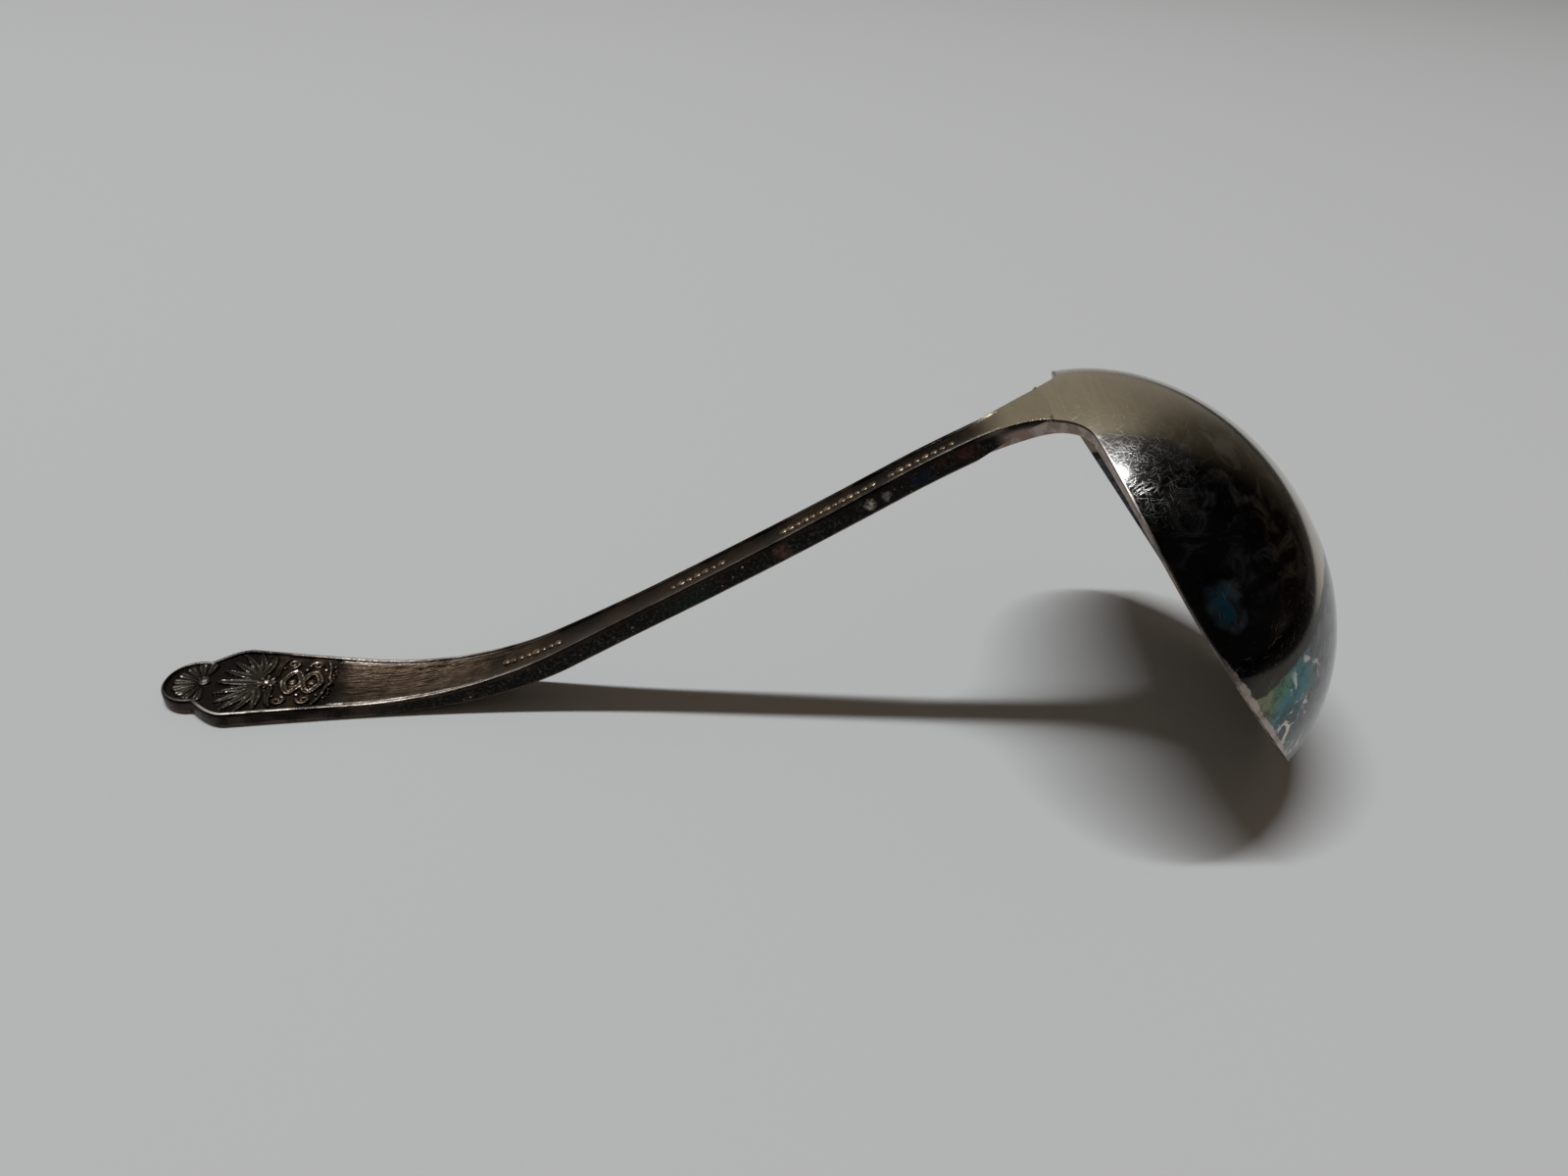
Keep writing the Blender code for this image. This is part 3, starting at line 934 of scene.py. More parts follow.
        rough = g.span(cloud, 0.3, 0.75, *self.tarnish_rough)
        rough = g.plus(rough, g.times(rubbed, self.rubbed_rough))
        rough = g.plus(rough, g.times(neck, self.satin_rough))
        normal = g.relief(streak, 0.03 * MM, 0.35)
        grain = g.times(fine, g.rest(g.times(neck, 0.9)))
        normal = g.relief(grain, 0.05 * MM, 0.45, normal)
        normal = g.relief(g.times(specks, side), 0.06 * MM, 0.5, normal)
        # The terminal's lower arris is made less metallic, so that its painted highlight shows.
        lit_rubbed_edge = g.times(g.times(g.attribute("arris"), at_end), 0.8)
        dull = g.most(g.times(g.attribute("rim"), 0.6), lit_rubbed_edge)
        g.set(SHADER, Base_Color=base, Roughness=rough, Metallic=g.rest(dull), Normal=normal)
        return material


@dataclass(frozen=True)
class SolderFinish:
    """Hard solder, a grey satin line with dark flecks."""

    clean: Colour = (0.40, 0.34, 0.29)
    dirty: Colour = (0.16, 0.12, 0.10)
    rough: float = 0.4

    def build(self) -> bpy.types.Material:
        """Make the material."""
        material, g = new_material(Slot.SOLDER.value)
        grain = g.noise(g.place("Object"), 800, 4, 0.6)
        base = g.mix(g.span(grain, 0.4, 0.6), self.dirty, self.clean)
        g.set(SHADER, Base_Color=base, Roughness=self.rough, Metallic=1.0,
              Normal=g.relief(grain, 0.03 * MM, 0.4))
        return material


@dataclass(frozen=True)
class TableFinish:
    """Plain pale table that ends in the dark, to the right and in front, when metal mirrors it."""

    colour: Colour = (0.505, 0.520, 0.532)
    beyond: Colour = (0.012, 0.011, 0.010)
    reach: Range = (0.30, 0.36)
    rough: float = 0.9

    def build(self) -> bpy.types.Material:
        """Make the material."""
        material, g = new_material("table")
        place = g.place("Object")
        grain = g.noise(place, 900, 3, 0.5)
        right = g.span(g.part(place, "X"), *self.reach)
        front = g.span(g.times(g.part(place, "Y"), -1.0), *self.reach)
        mirrored = g.times(g.most(right, front), g.ray("Is Glossy Ray"))
        g.set(SHADER, Base_Color=g.mix(mirrored, self.colour, self.beyond), Roughness=self.rough,
              Normal=g.relief(grain, 0.06 * MM, 0.25))
        return material


# Pieces


@dataclass
class Piece:
    """Piece of the ladle, with the solid that it stands for and its slot in the record."""

    form: LadleForm = FORM
    solid: str | None = None
    slot: Slot = Slot.HANDLE

    def dress(self, thing: bpy.types.Object, material: bpy.types.Material) -> None:
        """Give the piece its finish and put it in place of its solid.

        Args:
            thing: The finished mesh object.
            material: The finish.
        """
        thing.data.materials.clear()
        thing.data.materials.append(material)
        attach(thing, "root")
        if self.solid:
            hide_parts(self.solid)
        faces = len(thing.data.polygons)
        LOG.info("%s stands for %s with %d faces", thing.name, self.solid or "trim", faces)


@dataclass
class Bowl(Piece):
    """Bowl and neck tongue as one sheet with a flat edge."""

    solid: str | None = "bowl"
    slot: Slot = Slot.BOWL
    neck_cells: int = 36
    rim_divisions: int = 190
    rows: int = 60
    neck_rows: int = 40
    edge_round: float = 0.11 * MM
    edge_angle: float = math.radians(50)
    edge_reach: float = 10.0 * MM
    satin: Fade = (7.0 * MM, 12.0 * MM)
    seam_half: float = 0.01 * MM

    def sheet(self) -> tuple[np.ndarray, list[tuple]]:
        """Points and faces of the outside, from the crown down to the rim and along the neck."""
        form = self.form
        neck = form.neck_angle
        sector = np.linspace(-neck, neck, self.neck_cells + 1)
        rest = np.linspace(neck, 2 * math.pi - neck, self.rim_divisions + 1)[1:-1]
        angles = np.concatenate([sector, rest])
        angles = (angles + math.pi) % (2 * math.pi) - math.pi
        bowl = form.bowl_points(angles, np.linspace(0, 1, self.rows + 1)[1:])
        columns = len(angles)
        crown = form.bowl_points(np.zeros(1), np.zeros(1)).reshape(1, 3)
        points = [crown, bowl.reshape(-1, 3)]
        faces = [(0, 1 + k, 1 + (k + 1) % columns) for k in range(columns)]
        faces += grid_faces(self.rows, columns, 1, closed=True)

        root_ahead, root_off = form.across(form.root_slope)
        beside = bowl[-1, : self.neck_cells + 1] - form.neck_root
        last = 1 + (self.rows - 1) * columns
        total = 1 + self.rows * columns
        line = list(range(last, last + self.neck_cells + 1))
        for row in range(1, self.neck_rows + 1):
            along = form.neck_length * (row / self.neck_rows) ** 2
            share = form.neck_half(along) / form.root_half
            place, slope = form.spine(along)
            ahead, off = form.across(slope)
            bow = (beside @ root_ahead)[:, None] * ahead + (beside @ root_off)[:, None] * off
            points.append(place + beside[:, 1:2] * share * np.array((0, 1, 0)) + bow * share ** 2)
            after = list(range(total, total + self.neck_cells + 1))
            total += self.neck_cells + 1
            for k in range(self.neck_cells):
                faces.append((line[k], after[k], after[k + 1], line[k + 1]))
            line = after
        return np.concatenate(points) + form.shift, faces

    def thicken(self, bowl: bpy.types.Object) -> None:
        """Give the sheet its wall, thicker near the neck and along it, and break its arrises."""
        form = self.form
        places = coordinates(bowl.data)
        away = np.linalg.norm(places - form.neck_root - form.shift, axis=1) - form.neck_root_width / 2
        walls = form.neck_wall + (form.wall - form.neck_wall) * smooth(away / form.wall_fade)
        first = 1 + self.rows * (self.neck_cells + self.rim_divisions)
        along = form.neck_length * (np.arange(1, self.neck_rows + 1) / self.neck_rows) ** 2
        grow = smooth(along / form.tongue_length) * (form.tongue_wall - form.neck_wall)
        walls[first:] = np.repeat(form.neck_wall + grow, self.neck_cells + 1)
        group = bowl.vertex_groups.new(name="wall")
        for index, wall in enumerate(walls):
            group.add([index], float(wall / form.tongue_wall), "REPLACE")
        for _ in Skin:
            bowl.data.materials.append(None)
        shell = bowl.modifiers.new("wall", "SOLIDIFY")
        shell.thickness = form.tongue_wall
        shell.vertex_group = "wall"
        shell.offset = -1
        shell.use_even_offset = True
        shell.material_offset_rim = Skin.RIM.value
        arris = bowl.modifiers.new("arris", "BEVEL")
        arris.width = self.edge_round
        arris.segments = 2
        arris.limit_method = "ANGLE"
        arris.angle_limit = self.edge_angle
        arris.material = Skin.ARRIS.value
        apply_modifiers(bowl)

    def build(self) -> bpy.types.Object:
        """Make the bowl's mesh with its wall, cut to the scarf, and its masks."""
        form = self.form
        points, faces = self.sheet()
        mesh = make_mesh("bowl", points, faces)
        edge_points = self.free_edge(mesh)
        bowl = new_object("ladle_bowl", mesh)
        self.thicken(bowl)
        scarf = form.scarf()
        face = scarf.col[2].to_3d()
        cut_open(bowl.data, scarf.translation - face * self.seam_half, face)
        self.mark(bowl.data, edge_points)
        shade(bowl.data, 20)
        return bowl

    @staticmethod
    def free_edge(mesh: bpy.types.Mesh) -> np.ndarray:
        """Points along the sheet's free edge."""
        shape = bmesh.new()
        shape.from_mesh(mesh)
        points = np.array([v.co[:] for v in shape.verts if v.is_boundary])
        shape.free()
        return points

    def mark(self, mesh: bpy.types.Mesh, edge_points: np.ndarray) -> None:
        """Store the masks and the UV map that the finish reads.

        Args:
            mesh: The bowl's plain mesh, its faces still numbered by kind.
            edge_points: Points along the sheet's free edge.
        """
        form = self.form
        tree = KDTree(len(edge_points))
        for index, point in enumerate(edge_points):
            tree.insert(point, index)
        tree.balance()
        places = coordinates(mesh)
        distance = np.array([tree.find(point)[2] for point in places])
        local = places - form.shift - form.rim_centre
        crown = local @ form.to_crown
        toward = local @ form.to_neck
        angle = np.arctan2(local[:, 1], toward)
        set_attribute(mesh, "edge", np.clip(distance / self.edge_reach, 0, 1))
        away = np.linalg.norm(places - form.neck_root - form.shift, axis=1)
        set_attribute(mesh, "neck", 1 - ramp_up(away, self.satin))
        kinds = np.empty(len(mesh.polygons), dtype=np.int32)
        mesh.polygons.foreach_get("material_index", kinds)
        lip = np.select([kinds == Skin.RIM.value, kinds == Skin.ARRIS.value], [1.0, 0.5], 0.0)
        set_attribute(mesh, "lip", lip, "FACE")
        mesh.polygons.foreach_set("material_index", np.zeros_like(kinds))
        radius = np.hypot(toward, local[:, 1])
        set_uv(mesh, np.stack([angle * form.rim_radius, radius + np.maximum(-crown, 0)], axis=1))


class Section(Enum):
    """Cross sections of a raised line of ornament."""

    ROUND = "round"
    BAND = "band"
    LEAF = "leaf"


@dataclass
class Stroke:
    """Raised line of ornament: a curve given by its points, with a width and a height."""

    points: np.ndarray
    width: Range
    height: Range
    section: Section = Section.ROUND

    def heights(self, along: np.ndarray, across: np.ndarray) -> np.ndarray:
        """Height that the stroke adds at places on the handle's top.

        Args:
            along: Distances of the places from the tip.
            across: Their distances from the middle.

        Returns:
            Heights in metres, zero beside the stroke.
        """
        best = np.zeros_like(along)
        count = len(self.points)
        for index, (x, y) in enumerate(self.points):
            t = index / (count - 1)
            wide = self.width[0] + (self.width[1] - self.width[0]) * t
            high = self.height[0] + (self.height[1] - self.height[0]) * t
            if self.section is Section.LEAF:
                wide *= 0.25 + 0.75 * math.sin(math.pi * (0.15 + 0.85 * t)) ** 0.7
            away = np.minimum(np.hypot(along - x, across - y) / wide, 1.0)
            if self.section is Section.ROUND:
                rise = np.sqrt(bump(away))
            else:
                rise = np.sqrt(bump(away ** 2))
            best = np.maximum(best, high * rise)
        if self.section is not Section.ROUND:
            middle = np.full_like(along, 1.0)
            for x, y in self.points:
                middle = np.minimum(middle, np.hypot(along - x, across - y))
            groove = 1 - 0.45 * np.exp(-(middle / (0.3 * max(self.width))) ** 2)
            best = best * groove
        return best


def curve_points(curve: Curve, count: int = 60) -> np.ndarray:
    """Points of a curve that is given for 0 to 1."""
    return np.array([curve(k / (count - 1)) for k in range(count)])


def spiral(centre: Flat, outer: float, inner: float, start: float, turns: float) -> Curve:
    """Curve of a volute.

    Args:
        centre: Its middle.
        outer: Radius at its start.
        inner: Radius at its end.
        start: Degrees at which it starts.
        turns: Turns that it makes, negative to wind the other way.

    Returns:
        The curve for 0 to 1.
    """
    def curve(t: float) -> Flat:
        """Point of the volute."""
        angle = math.radians(start) + 2 * math.pi * turns * t
        radius = outer + (inner - outer) * t ** 0.8
        return centre[0] + radius * math.cos(angle), centre[1] + radius * math.sin(angle)
    return curve


def bezier(*corners: Flat) -> Curve:
    """Curve of a cubic with four corner points."""
    def curve(t: float) -> Flat:
        """Point of the cubic."""
        shares = ((1 - t) ** 3, 3 * t * (1 - t) ** 2, 3 * t * t * (1 - t), t ** 3)
        return (
            sum(s * corner[0] for s, corner in zip(shares, corners)),
            sum(s * corner[1] for s, corner in zip(shares, corners)),
        )
    return curve


@dataclass
class Ornament:
    """Struck ornament of the terminal: shell fan, leaf spray, rosette and looped band, mirrored."""

    fan_centre: float = 5.7 * MM
    fan_reach: float = 4.6 * MM
    fan_lobes: int = 9
    fan_spread: float = 210.0
    fan_hub: float = 0.95 * MM
    rosette_centre: float = 14.6 * MM
    rosette_radius: float = 1.7 * MM
    petals: int = 8
    height: float = 0.42 * MM
    loop_start: float = 16.9
    loop_length: float = 2.75
    loop_width: float = 2.5
    loops: int = 2

    def fan(self, along: np.ndarray, across: np.ndarray) -> np.ndarray:
        """Height of the shell fan that opens towards the tip."""
        x, y = self.fan_centre - along, across
        angle = np.degrees(np.arctan2(y, x))
        radius = np.hypot(x, y)
        step, side = self.fan_spread / self.fan_lobes, self.fan_spread / 2
        lobe = np.abs((angle + side) % step - step / 2) / (step / 2)
        body = np.sqrt(bump(lobe * 0.97)) * smooth((radius - 0.7 * MM) / (0.8 * MM))
        end = smooth((self.fan_reach * (0.92 + 0.08 * (1 - lobe)) - radius) / (0.45 * MM))
        vein = 1 - 0.35 * np.exp(-(lobe / 0.22) ** 2)
        rise = 0.55 + 0.45 * radius / self.fan_reach
        boss = np.sqrt(bump(np.minimum(radius / self.fan_hub, 1)))
        return self.height * np.maximum(body * (np.abs(angle) < side) * end * rise * vein, boss)

    def rosette(self, along: np.ndarray, across: np.ndarray) -> np.ndarray:
        """Height of the round flower on the axis, with a button in its middle."""
        x, y = along - self.rosette_centre, across
        angle = np.arctan2(y, x)
        radius = np.hypot(x, y) / self.rosette_radius
        wave = np.abs(np.cos(angle * self.petals / 2))
        outline = 0.72 + 0.28 * wave
        petal = smooth((outline - radius) / 0.22) * (0.35 + 0.65 * wave) * (0.55 + 0.45 * radius)
        button = np.sqrt(bump(np.minimum(radius / 0.34, 1))) * 1.05
        return self.height * np.maximum(petal, button)

    def strokes(self) -> list[Stroke]:
        """Leaves, looped band, beads and closing bracket, for the side at positive Y."""
        lines = []

        def add(curve: Curve, width: Range, lift: Range, section: Section = Section.ROUND) -> None:
            """Add one stroke with sizes in mm and heights as shares."""
            lines.append(Stroke(
                curve_points(curve) * MM, (width[0] * MM, width[1] * MM),
                (lift[0] * self.height, lift[1] * self.height), section,
            ))

        def bead(x: float, y: float, radius: float) -> None:
            """Add a round bead."""
            add(lambda t: (x, y), (radius, radius), (0.9, 0.9))

        def looped(t: float) -> Flat:
            """Point of the looped band, which crosses its mirror image on the axis."""
            reach = self.loop_length * self.loops * t
            swell = self.loop_width * (1 - 0.08 * reach / self.loop_length)
            return self.loop_start + reach, swell * abs(math.sin(math.pi * reach / self.loop_length))

        add(bezier((13.2, 0.0), (11.5, 0.1), (9.5, 0.1), (7.5, 0.0)),
            (0.75, 0.75), (0.8, 1.0), Section.LEAF)
        for tip, bend in (((7.9, 2.6), 0.5), ((8.6, 4.8), 0.9), ((9.9, 6.3), 1.1),
                          ((12.0, 6.7), 1.0), ((14.3, 6.2), 0.7)):
            start = (13.3, 0.9)
            middle = ((start[0] + tip[0]) / 2 + bend * 0.7, (start[1] + tip[1]) / 2 - bend * 0.3)
            add(bezier(start, middle, middle, tip), (0.72, 0.72), (0.7, 1.0), Section.LEAF)
        add(bezier((15.7, 1.5), (15.4, 3.2), (15.6, 4.6), (16.6, 5.6)),
            (0.45, 0.45), (0.8, 0.9), Section.LEAF)
        add(looped, (0.52, 0.52), (0.95, 0.95), Section.BAND)
        for loop in range(self.loops):
            bead(self.loop_start + self.loop_length * (loop + 0.5), 0.0, 0.75)
            bead(self.loop_start + self.loop_length * (loop + 1.0), 2.9, 0.42)
        add(spiral((17.3, 4.3), 1.0, 0.25, -70, 1.2), (0.36, 0.28), (0.9, 0.8))
        add(spiral((20.9, 4.0), 1.0, 0.25, 190, -1.2), (0.36, 0.28), (0.9, 0.8))
        add(bezier((24.3, 0.0), (22.7, 0.6), (23.7, 2.9), (22.3, 5.0)), (0.30, 0.30), (0.85, 0.85))
        for x, y in ((23.9, 1.6), (24.0, 2.6), (23.6, 3.6), (16.3, 3.3)):
            bead(x, y, 0.32)
        return lines

    def heights(self, along: np.ndarray, across: np.ndarray) -> np.ndarray:
        """Height of the whole ornament over its ground."""
        across = np.abs(across)
        total = np.maximum(self.fan(along, across), self.rosette(along, across))
        for stroke in self.strokes():
            total = np.maximum(total, stroke.heights(along, across))
        return total


@dataclass
class Handle(Piece):
    """Struck handle: ornament, threads along the edges, channel, sides and plain back."""

    solid: str | None = "handle"
    ornament: Ornament = field(default_factory=Ornament)
    top_cells: int = 104
    side_cells: int = 5
    back_cells: int = 14
    ornament_end: float = 24.6 * MM
    channel_depth: float = 0.60 * MM
    ground_depth: float = 0.42 * MM
    edge: float = 0.28 * MM
    neck_edge: float = 0.11 * MM
    thread: float = 0.42 * MM
    second_thread: float = 0.16 * MM
    arris_round: float = 0.45 * MM
    side_swell: float = 0.06 * MM
    lobe_rows: int = 44
    fine_end: float = 25.5 * MM
    fine_step: float = 0.115 * MM
    middle_step: float = 0.22 * MM
    shank_rows: int = 320
    outline_end: float = 16.0 * MM
    outline_used: float = 14.0 * MM
    outline_steps: tuple[int, int] = (120, 260)
    # Stretches from the tip over which the near and far threads turn bright and then dull again: painted
    # highlights of the lamp over rubbed wear.
    near_highlight: Fade = (5.5 * MM, 2.5 * MM)
    far_highlight: Fade = (19.0 * MM, 4.0 * MM)
    threads_dull: Fade = (42.0 * MM, 20.0 * MM)
    panel_length: float = 2.0 * MM
    panel_ends: Fade = (40.0 * MM, 18.0 * MM)
    satin: Fade = (7.5 * MM, 6.5 * MM)
    plain_sides: Fade = (8.5 * MM, 3.0 * MM)
    seam_half: float = 0.01 * MM

    def stations(self) -> np.ndarray:
        """Distances from the tip at which a section is drawn."""
        form = self.form
        lobe = form.lobe_centre * (1 - np.cos(np.linspace(0.02, math.pi / 2, self.lobe_rows)))
        fine = np.arange(form.lobe_centre, self.fine_end, self.fine_step)[1:]
        middle = np.arange(self.fine_end, form.terminal_length, self.middle_step)
        end = form.handle_length - form.scarf_from_root / 2
        coarse = np.linspace(form.terminal_length, end, self.shank_rows)
        return np.concatenate([lobe, fine, middle, coarse])

    def edge_distance(self, along: np.ndarray, across: np.ndarray, half: np.ndarray) -> np.ndarray:
        """Distance from places on the top to the handle's outline.

        Args:
            along: Distances from the tip, rows by columns.
            across: Distances from the middle.
            half: Half widths.

        Returns:
            Distances in metres, never below zero.
        """
        slope = np.gradient(half[:, 0], along[:, 0])[:, None]
        distance = (half - np.abs(across)) / np.sqrt(1 + slope ** 2)
        near = along[:, 0] < self.outline_used
        steps = np.concatenate([
            self.form.lobe_centre * (1 - np.cos(np.linspace(0, math.pi / 2, self.outline_steps[0]))),
            np.linspace(self.form.lobe_centre, self.outline_end, self.outline_steps[1])[1:],
        ])
        x, y = along[near], np.abs(across[near])
        best = np.full_like(x, 1.0)
        for step in steps:
            best = np.minimum(best, np.hypot(x - step, y - self.form.handle_half(step)))
        distance[near] = best
        return np.maximum(distance, 0)

    def struck_share(self, along: np.ndarray) -> np.ndarray:
        """Share of the threads and the channel that is struck, zero on the plain neck."""
        neck = self.form.neck_length
        return smooth((self.form.handle_length - along - neck / 2) / (neck / 2))

    def top_heights(self, along: np.ndarray, across: np.ndarray, half: np.ndarray,
                    ) -> tuple[np.ndarray, np.ndarray, np.ndarray]:
        """Height of the top under the threads' crest, and what stands out on it.

        Args:
            along: Distances from the tip, rows by columns.
            across: Distances from the middle.
            half: Half widths.

        Returns:
            Heights in metres, the ornament's relief from 0 to 1, and the threads' from 0 to 1.
        """
        form = self.form
        inside = self.edge_distance(along, across, half)
        # The threads' profile is drawn in shares of a thread's width.
        size = np.clip(half / (5 * MM), 0.55, 1.0)
        struck_here = self.struck_share(along)
        thread = self.thread * size
        edge = self.edge * struck_here + self.neck_edge * (1 - struck_here)
        round_edge = -edge * np.clip(1 - inside / edge, 0, 1) ** 2
        crest = bump(np.minimum(np.abs(inside - thread) / (0.75 * thread), 1))
        second = bump(np.minimum(np.abs(inside - 2.55 * thread) / (0.5 * thread), 1))
        sunk = smooth((inside - 1.25 * thread) / (0.7 * thread))
        room = np.maximum(half - 2 * thread, 0.2 * MM)
        hollow = np.clip((inside - 2 * thread) / room, 0, 1)
        dish = 1 - (1 - hollow) ** 2
        struck = smooth((self.ornament_end - along) / (0.9 * MM))
        depth = (0.45 + 0.55 * dish) * self.channel_depth * np.clip(half / (4 * MM), 0.75, 1.0)
        ground = depth * (1 - struck) + self.ground_depth * struck
        height = -ground * sunk + self.second_thread * second * (1 - 0.8 * struck)
        motif = self.ornament.heights(along, across) * struck
        motif *= smooth((inside - 1.4 * thread) / (0.5 * thread))
        height = (height + motif) * struck_here + round_edge
        height += (1 - struck_here) * form.neck_bow[1] * (across / form.root_half) ** 2
        relief = motif / self.ornament.height
        return height, relief, np.maximum(crest, 0.5 * second * (1 - struck)) * struck_here

    def ring(self, stations: np.ndarray, height: np.ndarray, across: np.ndarray,
             ) -> tuple[np.ndarray, np.ndarray]:
        """Sections right round the handle.

        Args:
            stations: Distances of the sections from the tip.
            height: Heights of the top, rows by columns.
            across: Places across the top.

        Returns:
            Places across and heights of each section's points, from the top round the back.
        """
        half = across[:, -1:]
        thick = np.array([self.form.handle_thickness(s) for s in stations])[:, None]
        edge_low = height[:, -1:]
        low = np.minimum(self.arris_round, 0.3 * half)
        sides = np.linspace(0, 1, self.side_cells + 1)[1:]
        side_y = half + self.side_swell * np.sin(sides * math.pi)[None, :] * np.minimum(half / MM, 1)
        side_z = edge_low + (low - thick - edge_low) * sides[None, :]
        turn = np.linspace(0, math.pi / 2, 5)[1:]
        corner_y = half - low * (1 - np.cos(turn))[None, :]
        corner_z = low - thick - low * np.sin(turn)[None, :]
        back = np.linspace(1, -1, self.back_cells + 1)[1:-1]
        back_y = (half - low) * back[None, :]
        back_z = np.repeat(-thick, len(back), axis=1)
        ring_y = np.concatenate(
            [across, side_y, corner_y, back_y, -corner_y[:, ::-1], -side_y[:, ::-1]], axis=1)
        ring_z = np.concatenate(
            [height, side_z, corner_z, back_z, corner_z[:, ::-1], side_z[:, ::-1]], axis=1)
        return ring_y, ring_z

    def masks(self, along: np.ndarray, across: np.ndarray, relief: np.ndarray, thread: np.ndarray,
              columns: int) -> dict[str, np.ndarray]:
        """Masks that the finish reads, for every point of every section.

        Args:
            along: Distances of the top's points from the tip.
            across: Their distances from the middle.
            relief: The ornament's relief there.
            thread: The threads' relief there.
            columns: Number of points in a section.

        Returns:
            Rows by columns of numbers for each mask.
        """
        rows, top = along.shape
        names = ("relief", "thread", "panel", "side", "arris", "neck", "rim", "line")
        marks = {name: np.zeros((rows, columns)) for name in names}
        marks["relief"][:, :top] = relief
        # Thread mask: rubbed wear on the crests, raised where a highlight of the lamp is painted.
        near, far = ramp_up(along, self.near_highlight), ramp_up(along, self.far_highlight)
        lit = 0.30 + 0.70 * np.where(across < 0, near, far)
        marks["thread"][:, :top] = thread * lit * (1 - 0.65 * ramp_up(along, self.threads_dull))
        marks["panel"][:, :top] = ramp_up(along, (self.ornament_end, self.panel_length)) * (
            1 - ramp_up(along, self.panel_ends))
        marks["side"][:, top:] = 1.0
        first, last = top + self.side_cells, columns - self.side_cells - 1
        # Lower arrises, where a highlight is painted.
        marks["arris"][:, [first, first + 1, last - 1, last]] = 1.0
        from_root = self.form.handle_length - along[:, :1]
        marks["neck"][:, :top] = 1 - ramp_up(from_root, self.satin)
        plain = 1 - ramp_up(from_root, self.plain_sides)
        marks["rim"][:, top:] = plain
        # Painted shade along the plain neck's edges, on the top and on the sides.
        marks["line"][:, [0, 1, top - 2, top - 1, top, columns - 1]] = plain
        return marks

    def build(self) -> bpy.types.Object:
        """Make the handle's mesh, cut to the scarf, with its masks."""
        form = self.form
        stations = self.stations()
        t = np.linspace(-1, 1, self.top_cells + 1)
        share = 0.6 * t + 0.4 * np.sin(t * math.pi / 2)
        half = np.array([form.handle_half(s) for s in stations])[:, None]
        along = np.repeat(stations[:, None], len(share), axis=1)
        across = half * share[None, :]
        height, relief, thread = self.top_heights(along, across, np.repeat(half, len(share), axis=1))
        ring_y, ring_z = self.ring(stations, height, across)
        rows, columns = ring_y.shape

        places, slopes = zip(*(form.spine(form.handle_length - s) for s in stations))
        ahead, off = (np.array(ways)[:, None, :] for ways in zip(*(form.across(s) for s in slopes)))
        middle = np.array(places)[:, None, :] + form.shift
        neck = (1 - self.struck_share(stations))[:, None]
        behind = neck * form.neck_bow[0] * (ring_y / form.root_half) ** 2
        points = middle + ring_z[..., None] * off + ring_y[..., None] * np.array((0, 1, 0))
        points = points + behind[..., None] * ahead
        mesh = make_mesh("handle", points, tube_faces(rows, columns))

        for name, values in self.masks(along, across, relief, thread, columns).items():
            set_attribute(mesh, name, values.ravel())
        steps = np.hypot(np.diff(ring_y, axis=1), np.diff(ring_z, axis=1))
        around = np.concatenate([np.zeros((rows, 1)), np.cumsum(steps, axis=1)], axis=1)
        down = np.repeat(stations[:, None], columns, axis=1)
        set_uv(mesh, np.stack([down, around], axis=2).reshape(-1, 2))
        scarf = form.scarf()
        face = scarf.col[2].to_3d()
        cut_open(mesh, scarf.translation + face * self.seam_half, -face)
        shade(mesh, 50)
        return new_object("ladle_handle", mesh)


